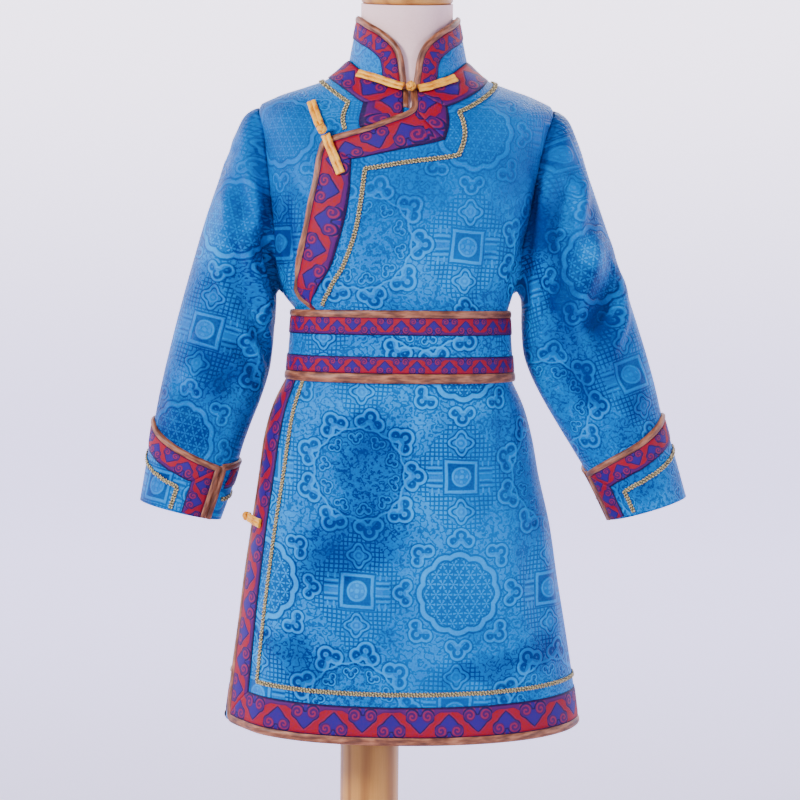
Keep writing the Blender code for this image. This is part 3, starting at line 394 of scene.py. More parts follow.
    figure = (rim + fill * 0.8 + (clouds + ring) * r.rise(39.5, 40.5) + curls * s.fall(42.0, 43.0)
              + band + middle * 0.5 + squares + bars + blossom * 0.9
              + lattice * holes * 0.7 + filling * worm.rise(-0.2, 0.5) * 0.35).least(1.15)
    sunk = (rimDark + cloudDark * free.most(underCloud) + ringDark + curlDark * s.fall(42.0, 43.0)
            + bandDark + middleDark * 0.7 + squareDark * 0.85 + barDark * 0.8 + blossomDark
            + lattice * (1 - holes) * 0.75 + filling * worm.fall(-0.9, -0.4) * 0.7
            + fillDark * 0.75).least(1.0) * (1 - figure).most(0)

    # the broad light and shade, all painted: soft spots of shade and highlight on the front, crumple
    # shading, darker sleeves and clouding all over
    spot = finish.solid()
    ox, _, oz = spot.noise(22.0, 3.0, 0.55, out=1).parts()
    gx, gy, gz = spot.parts()
    gx, gz = gx + (ox - 0.5) * 0.05, gz + (oz - 0.5) * 0.05
    front = gy.fall(-0.012, 0.004)
    broad = place.noise(8.5, 3.0, 0.55)
    crumple = spot.noise(26.0, 3.0, 0.5)
    sleeve = abs(gx).rise(0.118, 0.15)
    # painted clouding all over, painted crumple shade, and most of each sleeve painted darker
    paintedLight = ((broad - 0.5) * 0.55 + (crumple - 0.5) * sleeve.pick(0.25, 0.75)
            - sleeve * gz.rise(0.56, 0.62) * 0.1)
    # each spot is painted shade where its share is below 0 and a painted highlight where it is over 0
    for *sizes, lean, share in brocade["paintedPatches"]:
        middleX, middleZ, halfX, halfZ = mm(sizes)
        dx, dz = gx - middleX, gz - middleZ
        cosine, sine = math.cos(lean), math.sin(lean)
        away = length((dx * cosine + dz * sine) / halfX, (dz * cosine - dx * sine) / halfZ)
        paintedLight = paintedLight + away.fall(0.35, 1.25) * front * share
    # how strongly the pattern shows: fainter in soft spots and on the upper chest, painted as the sheen
    # washing it out, and a little fainter on the sleeves
    cut = place.noise(5.0, 2.0, 0.5).rise(0.3, 0.58).pick(0.62, 1.0)
    cut = cut * gz.rise(0.79, 0.9).pick(1.0, 0.45) * sleeve.pick(1.0, 0.8)
    motes = place.noise(520.0, 2.0, 0.6)
    # the pattern's own tone plus the painted light and shade above; the ramp's dark and light ends also
    # give painted shade and painted highlight
    tone = 0.45 + figure * cut * 0.2 - sunk * cut * 0.42 + (motes - 0.5) * 0.3 + paintedLight
    colour = tone.ramp((0.0, brocade["dark"]), (0.44, brocade["ground"]), (1.0, brocade["light"]))
    twill = ((u + v * 0.7) * 5200).sine()
    height = figure * 0.8 - sunk * 0.8 + twill * 0.08 + motes * 0.35 + crumple * 6.5
    rough = brocade["roughness"] + figure * 0.1 - (motes - 0.5) * 0.14
    finish.feed(colour, rough, height, 0.0007, strength)


lining = {"colour": (0.012, 0.085, 0.27), "shares": (0.75, 1.3), "roughness": 0.55}


def makeLining():
    finish = Finish("lining", lining["colour"], Sheen_Weight=0.2)
    place = finish.cloth()
    x, y, _ = place.parts()
    weave = (x * 4200).sine() * (y * 4200).sine()
    mottle = place.noise(90.0, 3.0)
    colour = mottle.tint(*(tuple(share * c for c in lining["colour"]) for share in lining["shares"]))
    finish.feed(colour, lining["roughness"] + mottle * 0.12, weave + mottle * 0.8, 0.0002, 0.5)


ribbonCloth = {
    "unit": 27.8, "flip": 27.0,
    "red": (0.33, 0.0, 0.006), "violet": (0.02, 0.001, 0.2), "purple": (0.075, 0.001, 0.11),
    "pink": (0.25, 0.01, 0.06), "magenta": (0.06, 0.001, 0.075), "indigo": (0.006, 0.001, 0.05),
}


def makeRibbon():
    # A woven ribbon with ram's horns that point up and down by turns on a red field. The piece's
    # layout runs along the ribbon in x; y is 0 at its piping and its width at the border.
    finish = Finish("ribbon", ribbonCloth["red"], Specular_IOR_Level=0.22)
    unit, flip = ribbonCloth["unit"], ribbonCloth["flip"]
    place = finish.cloth()
    wx, wy, _ = place.noise(110.0, 2.0, out=1).parts()
    u, v, _ = place.parts()
    u, v = u * 1000 + (wx - 0.5) * 1.3, v * 1000 + (wy - 0.5) * 1.3
    x = u.wrap(unit)
    odd = (u / unit + 0.5).math("FLOOR").wrap(2.0).math("ABSOLUTE").rise(0.4, 0.6)
    y = odd.pick(v, flip - v)                                # both kinds as one: tip down at 10
    across = abs(x)

    # a leaf: a spade that swells from its tip to two broad curled horns
    horn = length(across - 7.6, y - 20.4)
    slope = (across - ((y - 4.6).most(0.0) / 14.0) ** 0.8 * 12.6) * 0.72
    spade = slope.most(y - 21.5).most(4.6 - y)
    leaf = spade.math("SMOOTH_MIN", horn - 6.6, 1.2)
    outline = (leaf + 0.2).line(0.62, 0.3)
    halo = (leaf - 1.15).line(0.42, 0.3)
    body = leaf.fall(-0.3, 0.3)
    wind = (y - 20.4).angle(across - 7.6) / (2 * math.pi)
    coil = (horn / 3.9 + wind).math("FRACT") - 0.5
    spiral = coil.line(0.22, 0.08) * horn.fall(4.9, 5.4)
    swirl = horn.fall(5.2, 5.8)
    stem = across.fall(1.6, 2.4) * y.rise(17.5, 19.5)

    # the border's inner line dips between the leaves that point up
    away = odd.pick(unit - across, across)
    border = 24.6 - away.rise(7.0, 16.0) * 3.4
    band = (v - border).rise(-0.3, 0.3)
    bandLine = (v - border).line(0.5, 0.3)
    selvedge = v.rise(26.6, 27.2)
    foot = v.fall(0.7, 1.1)

    fleck = place.noise(420.0, 2.0, 0.6).rise(0.35, 0.7)
    colour = band.tint(ribbonCloth["red"], ribbonCloth["purple"])
    colour = bandLine.tint(colour, ribbonCloth["magenta"])
    colour = (halo * 0.8).tint(colour, ribbonCloth["pink"])
    colour = body.tint(colour, ribbonCloth["violet"])
    colour = (swirl * 0.85).tint(colour, ribbonCloth["magenta"])
    colour = spiral.tint(colour, ribbonCloth["pink"])
    colour = stem.tint(colour, ribbonCloth["violet"])
    colour = outline.tint(colour, ribbonCloth["indigo"])
    colour = selvedge.most(foot).tint(colour, ribbonCloth["indigo"])
    colour = (fleck * 0.28).tint(colour, ribbonCloth["purple"])
    ribs = (u * (2 * math.pi / 0.9)).sine() * 0.5 + 0.5
    threads = place.noise(900.0, 2.0)
    shade = 0.84 + ribs * 0.1 + threads * 0.16
    colour = shade.node("ShaderNodeMix", {"data_type": "RGBA", "blend_type": "MULTIPLY"},
                        {0: 1.0, 6: colour, 7: shade}, out=2)
    height = ribs * 0.35 + (halo + spiral - outline) * 0.6 + body * 0.5 + threads * 0.4
    finish.feed(colour, 0.5 + threads * 0.16, height, 0.0004, 0.6)


# the satin's tones, from painted shade through its own colour to painted highlight
copper = {"mid": (0.23, 0.072, 0.028), "dark": (0.08, 0.021, 0.008), "light": (0.43, 0.165, 0.075)}


def makeCopper():
    finish = Finish("copperSatin", copper["mid"], Specular_IOR_Level=0.5, Anisotropic=0.5)
    place = finish.cloth()
    u, v, _ = place.parts()
    crumple = place.stretched(60.0, 240.0, 1.0).noise(1.0, 3.0, 0.55)
    threads = ((u + v * 1.4) * 7000).sine()
    # the crumples are painted darker and lighter as well as bumped: painted shade and painted highlights
    # of the wrinkles
    tone = crumple.rise(0.28, 0.72)
    colour = tone.ramp((0.0, copper["dark"]), (0.5, copper["mid"]), (1.0, copper["light"]))
    finish.feed(colour, 0.36 + crumple * 0.12, crumple + threads * 0.05, 0.0009, 0.5)


# the plait's tones: bright for painted glints, dark for painted shade between the fibres
gold = {"bright": (0.64, 0.54, 0.26), "olive": (0.19, 0.15, 0.045), "dark": (0.02, 0.02, 0.03)}


def makeGold():
    # The plait's layout runs along its strand in x and round it in y.
    finish = Finish("goldBraid", gold["bright"], Specular_IOR_Level=0.6, Metallic=0.35)
    place = finish.cloth()
    u, v, _ = place.parts()
    lay = (u * 1900 + v * (2 * math.pi)).sine()
    glint = place.noise(800.0, 2.0)
    # painted shade in the grooves of the twisted fibres, and painted glints
    tone = (lay * 0.32 + 0.5 + (glint - 0.5) * 1.1).rise(0.0, 1.0)
    colour = tone.ramp((0.0, gold["dark"]), (0.38, gold["olive"]), (0.75, gold["bright"]))
    finish.feed(colour, 0.38 + glint * 0.15, lay * 0.6 + glint * 0.4, 0.0003, 0.8)


# the satin's tones, from painted shade through its own colour to painted highlight
yellow = {"light": (1.0, 0.56, 0.05), "mid": (0.9, 0.38, 0.012), "dark": (0.52, 0.13, 0.002)}


def makeYellow():
    finish = Finish("yellowSatin", yellow["mid"], Specular_IOR_Level=0.4)
    place = finish.cloth()
    u, v, _ = place.parts()
    crumple = place.stretched(90.0, 1.6, 1.0).noise(1.0, 3.0, 0.6)
    threads = (u * 5000 + v * 25).sine()
    # the crumples are painted darker and lighter as well as bumped: painted shade and painted highlights
    # of the wrinkles
    tone = crumple.rise(0.3, 0.68)
    colour = tone.ramp((0.0, yellow["dark"]), (0.45, yellow["mid"]), (1.0, yellow["light"]))
    finish.feed(colour, 0.38 + crumple * 0.12, crumple + threads * 0.06, 0.0008, 0.5)


formCloth = {"colour": (0.96, 0.68, 0.65), "shadow": (0.84, 0.56, 0.53)}


def makeFormCover():
    finish = Finish("formCover", formCloth["colour"], Sheen_Weight=0.1)
    place = finish.solid()
    x, y, z = place.parts()
    turn = y.angle(x) * 0.06
    weave = (turn * 5200).sine() * 0.5 + (z * 5200).sine() * 0.5
    slubs = place.stretched(300.0, 300.0, 1400.0).noise(1.0, 2.0)
    mottle = place.noise(14.0, 3.0)
    shade = (mottle * 0.7 + slubs * 0.3).rise(0.3, 0.7)
    colour = shade.tint(formCloth["shadow"], formCloth["colour"])
    finish.feed(colour, 0.72 + slubs * 0.12, weave * 0.3 + slubs, 0.0003, 0.35)


wood = {"pale": (0.56, 0.255, 0.036), "deep": (0.32, 0.115, 0.01)}


def makeWood():
    finish = Finish("paleWood", wood["pale"], Coat_Weight=0.25, Coat_Roughness=0.25)
    place = finish.solid()
    grown = place.stretched(1.0, 1.0, 0.09)
    x, y, _ = grown.parts()
    bend = grown.noise(9.0, 3.0, 0.6)
    rings = ((length(x + 0.07, y - 0.11) + bend * 0.035) * 520).sine() * 0.5 + 0.5
    pores = place.stretched(900.0, 900.0, 26.0).noise(1.0, 3.0, 0.6)
    tone = (rings ** 2.2) * 0.55 + pores * 0.45 + (bend - 0.5) * 0.5
    colour = tone.rise(0.05, 0.95).tint(wood["pale"], wood["deep"])
    finish.feed(colour, 0.36 + pores * 0.16, pores * 0.6 - rings * 0.2, 0.0003, 0.3)


# the backdrop's colour, and its glow, which is painted light
backdrop = {
    "colour": (0.52, 0.51, 0.58), "clouds": ((0.5, 0.49, 0.56), (0.54, 0.53, 0.6)), "glow": 2.9,
    "low": (0.4, 0.37, 0.63), "high": (0.95, 0.87, 1.0), "before": (0.065, 0.058, 0.09),
}


def makeBackdropPaint():
    finish = Finish("backdrop", backdrop["colour"], Specular_IOR_Level=0.2,
                    Emission_Strength=backdrop["glow"])
    place = finish.solid()
    cloudy = place.noise(0.6, 2.0)
    finish.feed(cloudy.tint(*backdrop["clouds"]), 0.75 + cloudy * 0.1, place.noise(60.0, 2.0),
                0.0005, 0.1)
    _, y, z = place.parts()
    # painted light: the wall glows, brighter towards the top
    glow = z.rise(0.0, 2.0).tint(backdrop["low"], backdrop["high"])
    glow = y.rise(-1.5, 3.0).tint(backdrop["before"], glow)  # hardly any before the part
    finish.link("Emission Color", glow)


# ---- skins that the cloth is draped on

def catmull(t):
    return (-0.5 * t + t ** 2 - 0.5 * t ** 3, 1 - 2.5 * t ** 2 + 1.5 * t ** 3,
            0.5 * t + 2 * t ** 2 - 1.5 * t ** 3, -0.5 * t ** 2 + 0.5 * t ** 3)


def between(start, leave, end, arrive, t):
    return ((2 * t ** 3 - 3 * t ** 2 + 1) * start + (t ** 3 - 2 * t ** 2 + t) * leave
            + (3 * t ** 2 - 2 * t ** 3) * end + (t ** 3 - t ** 2) * arrive)


def runs(points, spots=None, bends=()):
    # How a smooth line through the points leaves and reaches each of them. It breaks at bends.
    spots = points if spots is None else spots
    steps, gaps = np.diff(points, axis=0), np.diff(spots, axis=0)
    lengths = np.linalg.norm(gaps.reshape(len(gaps), -1, gaps.shape[-1]), axis=2).mean(axis=1)
    lengths = np.maximum(lengths, 1e-7).reshape((-1,) + (1,) * (points.ndim - 1))
    slopes = steps / lengths
    middle = (slopes[:-1] * lengths[1:] + slopes[1:] * lengths[:-1]) / (lengths[:-1] + lengths[1:])
    atPoint = np.concatenate([slopes[:1], middle, slopes[-1:]])
    leave, arrive = atPoint[:-1] * lengths, atPoint[1:] * lengths
    for bend in bends:
        leave[bend], arrive[bend - 1] = steps[bend], steps[bend - 1]
    return leave, arrive


def unit(vectors):
    return vectors / np.maximum(np.linalg.norm(vectors, axis=-1, keepdims=True), 1e-12)


def reached(spots):
    # How far along a line of points each of them lies.
    return np.concatenate([[0], np.cumsum(np.linalg.norm(np.diff(spots, axis=0), axis=1))])


creaseForm = {"far": 3.2, "start": 0.04, "run": 0.92, "fade": 0.8, "bank": 0.32, "bankAt": 1.9,
              "bankWide": 0.8, "step": 0.006}
seeking = {"first": -8, "across": 0.25, "along": 0.125, "facing": 0.05, "tries": 12, "stride": 0.4}


class Skin:
    # A smooth surface through rings of points: i runs round it and closes up, j goes from ring
    # to ring. Creases and the outer front's stand-off lift the cloth off it.
    def __init__(self, rings, bends=()):
        self.rings = np.array(rings, float)
        self.rows, self.columns = self.rings.shape[:2]
        self.leave, self.arrive = runs(self.rings, bends=bends)
        self.creases = []
        self.standoff = None
        middle = np.linalg.norm(np.diff(self.rings, axis=0), axis=2).mean(axis=1)
        self.heights = np.concatenate([[0], np.cumsum(middle)])

    def place(self, i, j):
        i, j = np.broadcast_arrays(np.asarray(i, float), np.asarray(j, float))
        row = np.clip(np.floor(j), 0, self.rows - 2).astype(int)
        column = np.floor(i).astype(int)
        up, right = (j - row)[..., None], (i - column)[..., None]
        total = 0
        for step, weight in zip((-1, 0, 1, 2), catmull(right)):
            near = (column + step) % self.columns
            total = total + weight * between(self.rings[row, near], self.leave[row, near],
                                             self.rings[row + 1, near], self.arrive[row, near], up)
        return total

    def slopes(self, i, j, small=0.02):
        i, j = np.asarray(i, float), np.clip(j, small, self.rows - 1 - small)
        across = (self.place(i + small, j) - self.place(i - small, j)) / small / 2
        along = (self.place(i, j + small) - self.place(i, j - small)) / small / 2
        return across, along, unit(np.cross(across, along))

    def crease(self, points, width, depth, located=False):
        # A soft trough, or a ridge where depth is over 0, that fades out at both ends.
        points = self.find(points) if located else np.array(points, float)
        path = smoothLine(self, points, creaseForm["step"])
        self.creases.append((self.place(path[:, 0], path[:, 1]), width, depth))

    def relief(self, spots):
        form = creaseForm
        total = np.zeros(spots.shape[:-1])
        for line, width, depth in self.creases:
            reach = form["far"] * width
            near = np.all((spots > line.min(0) - reach) & (spots < line.max(0) + reach), axis=-1)
            if not near.any():
                continue
            apart = np.linalg.norm(spots[near][:, None] - line[None], axis=2)
            nearest = apart.argmin(axis=1)
            share = nearest / (len(line) - 1) * form["run"] + form["start"]
            fade = np.sin(math.pi * np.clip(share, 0, 1)) ** form["fade"]
            away = apart.min(axis=1) / width
            bank = np.exp(-((away - form["bankAt"]) / form["bankWide"]) ** 2)
            shape = np.exp(-away ** 2) - form["bank"] * bank
            total[near] += depth * fade * shape
        return total

    def drape(self, i, j, lift=0.0, lapped=False):
        spots = self.place(i, j)
        height = lift + self.relief(spots)
        if lapped and self.standoff is not None:
            height = height + self.standoff(np.asarray(i, float), np.asarray(j, float))
        return spots + self.slopes(i, j)[2] * height[..., None]

    def find(self, points):
        # The pattern places on the front that lie at these x and z, seen from straight ahead.
        i, j = np.meshgrid(np.arange(seeking["first"], self.columns, seeking["across"]),
                           np.arange(0, self.rows - 0.99, seeking["along"]))
        i, j = i.ravel(), j.ravel()
        spots = self.place(i, j)
        facing = self.slopes(i, j)[2][:, 1] < seeking["facing"]
        i, j, spots = i[facing], j[facing], spots[facing]
        found = []
        for x, z in points:
            start = np.hypot(spots[:, 0] - x, spots[:, 2] - z).argmin()
            at = np.array([i[start], j[start]])
            for _ in range(seeking["tries"]):
                here = self.place(*at)[[0, 2]]
                across, along, _ = self.slopes(*at)
                basis = np.stack([across[[0, 2]], along[[0, 2]]], axis=1)
                step = np.linalg.lstsq(basis, np.array([x, z]) - here, rcond=None)[0]
                at = at + np.clip(step, -seeking["stride"], seeking["stride"])
                at[1] = np.clip(at[1], 0, self.rows - 1)
            found.append(at)
        found = np.array(found)
        found[:, 0] = (found[:, 0] + self.columns / 2) % self.columns - self.columns / 2
        return found

    def layout(self, i, j, centre, level):
        # Where a place lies on the flat cloth, in metres from a centre column and a level row.
        steps = 4
        columns = np.arange(self.columns * steps + 1) / steps + centre - self.columns / 2
        rows = np.arange((self.rows - 1) * steps + 1) / steps
        grid = self.place(columns[None, :], rows[:, None])
        across = np.linalg.norm(np.diff(grid, axis=1), axis=2)
        across = np.pad(np.cumsum(across, axis=1), ((0, 0), (1, 0)))
        across -= across[:, [self.columns * steps // 2]]
        along = np.linalg.norm(np.diff(grid, axis=0), axis=2)
        along = np.pad(np.cumsum(along, axis=0), ((1, 0), (0, 0)))
        along -= along[[int(level * steps)], :]
        x = np.clip((i - columns[0]) * steps, 0, len(columns) - 1.001)
        y = np.clip(np.asarray(j) * steps, 0, len(rows) - 1.001)
        column, row = x.astype(int), y.astype(int)
        right, up = x - column, y - row
        pairs = []
        for values in (across, along):
            low = values[row, column] * (1 - right) + values[row, column + 1] * right
            high = values[row + 1, column] * (1 - right) + values[row + 1, column + 1] * right
            pairs.append(low * (1 - up) + high * up)
        return np.stack(pairs, axis=-1)

    def roundLayout(self, i, j):
        # The same for a tube that leans: along its own axis, and round it from its outer side.
        middles = self.rings.mean(axis=1)
        axis = unit(middles[-1] - middles[1])
        out = unit(np.array([-axis[2], 0, axis[0]]))
        if out @ (self.rings[-1, self.columns // 2] - middles[-1]) < 0:
            out = -out
        way = np.sign((self.rings[-1, self.columns // 4] - middles[-1])[1])
        j = np.asarray(j, float)
        centre = np.stack([np.interp(j, np.arange(self.rows), middles[:, n]) for n in range(3)], axis=-1)
        spots = self.place(i, j)
        apart = spots - centre
        turn = np.arctan2(way * apart[..., 1], apart @ out)
        near, past, full = 3, 17.5, 2 * math.pi     # columns near the seam, and far past it
        turn = np.where((i < near) & (turn < -1), turn + full, turn)
        turn = np.where((i > self.columns - near) & (turn > 1), turn - full, turn)
        turn = np.where(i > past, turn - full * (turn > -math.pi), turn)
        ring = self.rings[2:] - middles[2:, None]
        radius = np.sqrt((ring @ out) ** 2 + ring[..., 1] ** 2).mean()
        return np.stack([-turn * radius, -(spots - middles[-1]) @ axis], axis=-1)

    def rowBelow(self, i, height):  # the row this far above the last one, along a column
        rows = np.linspace(self.rows - 1, 0, 400)
        return float(np.interp(height, reached(self.place(np.full(400, float(i)), rows)), rows))


def smoothLine(skin, points, spacing=0.003, bends=()):
    # A smooth line on the pattern through a few places, in short even steps.
    points = np.array(points, float)
    spots = skin.place(points[:, 0], points[:, 1])
    leave, arrive = runs(points, spots, bends)
    line = []
    for n in range(len(points) - 1):
        count = max(2, math.ceil(np.linalg.norm(spots[n + 1] - spots[n]) / spacing))
        t = (np.arange(count) / count)[:, None]
        line.append(between(points[n], leave[n], points[n + 1], arrive[n], t))
    return np.concatenate(line + [points[-1:]])


def lengthsOf(skin, line):
    return reached(skin.place(line[:, 0], line[:, 1]))


def evened(skin, line, count):
    lengths = lengthsOf(skin, line)
    wanted = np.linspace(0, lengths[-1], count)
    return np.stack([np.interp(wanted, lengths, line[:, axis]) for axis in (0, 1)], axis=1)


def shifted(skin, line, distance, step=0.004):
    # The same line moved to its left over the cloth. What folds back on itself is left out.
    line = np.array(line, float)
    if abs(distance) < 1e-6:
        return line
    count = math.ceil(abs(distance) / step)
    for _ in range(count):
        spots = skin.place(line[:, 0], line[:, 1])
        ahead = unit(np.gradient(spots, axis=0))
        across, along, normal = skin.slopes(line[:, 0], line[:, 1])
        push = np.cross(normal, ahead) * distance / count
        aa, ab, bb = (across * across).sum(1), (across * along).sum(1), (along * along).sum(1)
        pa, pb = (push * across).sum(1), (push * along).sum(1)
        whole = aa * bb - ab * ab
        moved = line + np.stack([(pa * bb - pb * ab) / whole, (pb * aa - pa * ab) / whole], axis=1)
        after = skin.place(moved[:, 0], moved[:, 1])
        kept = [0]
        for n in range(1, len(line)):
            run, now = spots[n] - spots[kept[-1]], after[n] - after[kept[-1]]
            if run @ now > 0:
                kept.append(n)
        line = moved[kept]
    return line


def meeting(first, second):
    # Cuts two lines off where they cross, as at a mitre.
    best = None
    for a in range(len(first) - 2, -1, -1):
        p, d = first[a], first[a + 1] - first[a]
        q, e = second[:-1], np.diff(second, axis=0)
        cross = d[0] * e[:, 1] - d[1] * e[:, 0]
        cross = np.where(np.abs(cross) < 1e-14, 1e-14, cross)
        gap = q - p
        s = (gap[:, 0] * e[:, 1] - gap[:, 1] * e[:, 0]) / cross
        t = (gap[:, 0] * d[1] - gap[:, 1] * d[0]) / cross
        hits = np.flatnonzero((s >= 0) & (s <= 1) & (t >= 0) & (t <= 1))
        if len(hits):
            best = (a, hits[0], p + s[hits[0]] * d)
            break
    if best is None:
        corner = (first[-1] + second[0]) / 2
        return np.vstack([first[:-1], corner]), np.vstack([corner, second[1:]])
    a, b, corner = best
    return np.vstack([first[:a + 1], corner]), np.vstack([corner, second[b + 1:]])


def partedAt(skin, line, places):
    # Parts a line at its nearest points to some places.
    spots = skin.place(line[:, 0], line[:, 1])
    cuts = [0]
    for place in places:
        cuts.append(int(np.linalg.norm(spots - skin.place(*place), axis=1).argmin()))
    cuts.append(len(line) - 1)
    return [line[a:b + 1] for a, b in zip(cuts, cuts[1:])]


# ---- how pieces are made

cutting = {"across": 0.1, "along": 0.0036, "cells": 4, "slack": 1e-5, "snap": 2e-4, "merge": 0.004}


def written(flat, name, points, layout):
    # A bmesh whose x and y number its points becomes a mesh at those points.
    mesh = meshOf(flat, name)
    mesh.vertices.foreach_set("co", points.astype(np.float32).ravel())
    corners = np.empty(len(mesh.loops), np.int32)
    mesh.loops.foreach_get("vertex_index", corners)
    sheet = mesh.uv_layers.new(name="cloth")
    sheet.uv.foreach_set("vector", layout[corners].astype(np.float32).ravel())
    mesh.update()
    return mesh


def gridMesh(name, points, layout):
    # A grid of faces through rows of points; the first axis runs along it, the second across.
    points, layout = np.asarray(points, float), np.asarray(layout, float)
    along, across = points.shape[:2]
    flat = bmesh.new()
    bmesh.ops.create_grid(flat, x_segments=along - 1, y_segments=across - 1, size=0.5)
    spots = np.array([vert.co[:2] for vert in flat.verts]) + 0.5
    a = np.rint(spots[:, 0] * (along - 1)).astype(int)
    b = np.rint(spots[:, 1] * (across - 1)).astype(int)
    return written(flat, name, points[a, b], layout[a, b])


def joined(name, meshes, merge=0.0, closed=False):
    whole = bmesh.new()
    for mesh in meshes:
        whole.from_mesh(mesh)
        bpy.data.meshes.remove(mesh)
    if merge:
        bmesh.ops.remove_doubles(whole, verts=whole.verts, dist=merge)
    if closed:
        bmesh.ops.holes_fill(whole, edges=whole.edges, sides=0)
        bmesh.ops.recalc_face_normals(whole, faces=whole.faces)
    return meshOf(whole, name)


def tubeMesh(name, centres, sides, outs, halfWidth, halfHeight, around, turns=0.0, ring=False):
    # A tube round a line of centres. Its layout runs along it in x and round it in y.
    count = len(centres)
    angle = np.linspace(0, 2 * math.pi, around + 1)
    reach = reached(centres)
    twist = angle[None, :] + (turns * reach)[:, None]
    wide = np.broadcast_to(np.asarray(halfWidth, float), (count,))[:, None, None]
    high = np.broadcast_to(np.asarray(halfHeight, float), (count,))[:, None, None]
    points = (centres[:, None] + wide * np.cos(twist)[..., None] * sides[:, None]
              - high * np.sin(twist)[..., None] * outs[:, None])
    layout = np.stack(np.broadcast_arrays(reach[:, None], angle[None, :] / (2 * math.pi)), axis=-1)
    return joined(name, [gridMesh(name, points, layout)], 1e-6, not ring)


def addPiece(name, mesh, finish, node, shell=0.0, smooth=60, inner=None):
    made = placed(name, mesh)
    mesh.materials.clear()
    mesh.materials.append(finishes[finish])
    mesh.shade_smooth()
    if smooth:
        mesh.set_sharp_from_angle(angle=math.radians(smooth))
    if shell:
        if inner:
            mesh.materials.append(finishes[inner])
        wall = made.modifiers.new("wall", "SOLIDIFY")
        wall.thickness, wall.offset, wall.use_even_offset = shell, -1, False
        wall.material_offset = 1 if inner else 0
    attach(made, "root")
    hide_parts(node)
    return made


def insideOf(places, outline):
    x, y = places[:, 0], places[:, 1]
    within = np.zeros(len(places), bool)
    for (ax, ay), (bx, by) in zip(outline, np.roll(outline, -1, axis=0)):
        if ay == by:
            continue
        crossing = ((ay > y) != (by > y)) & (x < (bx - ax) * (y - ay) / (by - ay) + ax)
        within ^= crossing
    return within


def cells(low, high):
    # The cells of a square net that a box on the pattern touches.
    spans = [range(math.floor(a * cutting["cells"]), math.floor(b * cutting["cells"]) + 1)
             for a, b in zip(low, high)]
    return [(a, b) for a in spans[0] for b in spans[1]]


def boxOf(face):
    xs, ys = zip(*((vert.co.x, vert.co.y) for vert in face.verts))
    return (min(xs), min(ys)), (max(xs), max(ys))


def cutFlat(skin, outline):
    # The pattern piece: a grid on the pattern, cut along its outline.
    low, high = outline.min(axis=0), outline.max(axis=0)
    rows = np.arange(skin.rows)
    near, far = np.interp([low[1], high[1]], rows, skin.heights)
    flat = bmesh.new()
    bmesh.ops.create_grid(
        flat, size=0.5, x_segments=max(2, math.ceil((high[0] - low[0]) / cutting["across"] * fine)),
        y_segments=max(2, math.ceil((far - near) / cutting["along"] * fine)))
    for vert in flat.verts:
        reach = near + (vert.co.y + 0.5) * (far - near)
        vert.co = (low[0] + (vert.co.x + 0.5) * (high[0] - low[0]),
                   float(np.interp(reach, skin.heights, rows)), 0)
    bins = {}

    def keep(face):
        for cell in cells(*boxOf(face)):
            bins.setdefault(cell, set()).add(face)

    for face in flat.faces:
        keep(face)
    for start, end in zip(outline, np.roll(outline, -1, axis=0)):
        run = end - start
        onEdge = any(abs(start[axis] - side[axis]) < 1e-6 and abs(end[axis] - side[axis]) < 1e-6
                     for axis in (0, 1) for side in (low, high))
        if onEdge or np.abs(run).max() < 1e-6:
            continue
        least = np.minimum(start, end) - cutting["slack"]
        most = np.maximum(start, end) + cutting["slack"]
        chosen = []
        for face in set().union(*(bins.get(cell, ()) for cell in cells(least, most))):
            (left, foot), (right, head) = boxOf(face)
            if right >= least[0] and left <= most[0] and head >= least[1] and foot <= most[1]:
                chosen.append(face)
        if not chosen:
            continue
        edges = {edge for face in chosen for edge in face.edges}
        verts = {vert for face in chosen for vert in face.verts}
        cut = bmesh.ops.bisect_plane(
            flat, geom=chosen + list(edges) + list(verts), dist=cutting["snap"],
            plane_co=(start[0], start[1], 0), plane_no=(-run[1], run[0], 0))
        for part in cut["geom"]:
            if isinstance(part, bmesh.types.BMFace):
                keep(part)
    faces = flat.faces[:]
    middles = np.array([face.calc_center_median()[:2] for face in faces])
    spare = [face for face, within in zip(faces, insideOf(middles, outline)) if not within]
    bmesh.ops.delete(flat, geom=spare, context="FACES")
    bmesh.ops.remove_doubles(flat, verts=flat.verts, dist=cutting["merge"])
    return flat


def panel(node, skin, outline, base=0.0, lapped=False, centre=0, level=0, turn=0.0, tube=False):
    # A piece of brocade, cut flat and draped, with its cut's size and area.
    flat = cutFlat(skin, np.array(outline, float))
    i, j = np.array([vert.co[:2] for vert in flat.verts]).T
    points = skin.drape(i, j, base + trims["wall"], lapped)
    layout = skin.roundLayout(i, j) if tube else skin.layout(i, j, centre, level)
    size = layout.max(axis=0) - layout.min(axis=0)
    c, s = math.cos(turn), math.sin(turn)
    layout = layout @ np.array([[c, s], [-s, c]]) - brocade["shifts"][node]
    mesh = written(flat, node + "_cloth", points, layout)
    area = sum(face.area for face in mesh.polygons)
    made = addPiece(node + "_cloth", mesh, "brocade", node, trims["shell"], 70, "lining")
    return made, size, area


def declare(sheet):
    made, size, area = sheet
    width, length = (round(float(value) + 0.0005, 3) for value in size)
    area = round(min(area, width * length), 4)
    print(f"  {made.name}: cut {width * 1000:.0f} x {length * 1000:.0f} mm, {area:.4f} square metres")


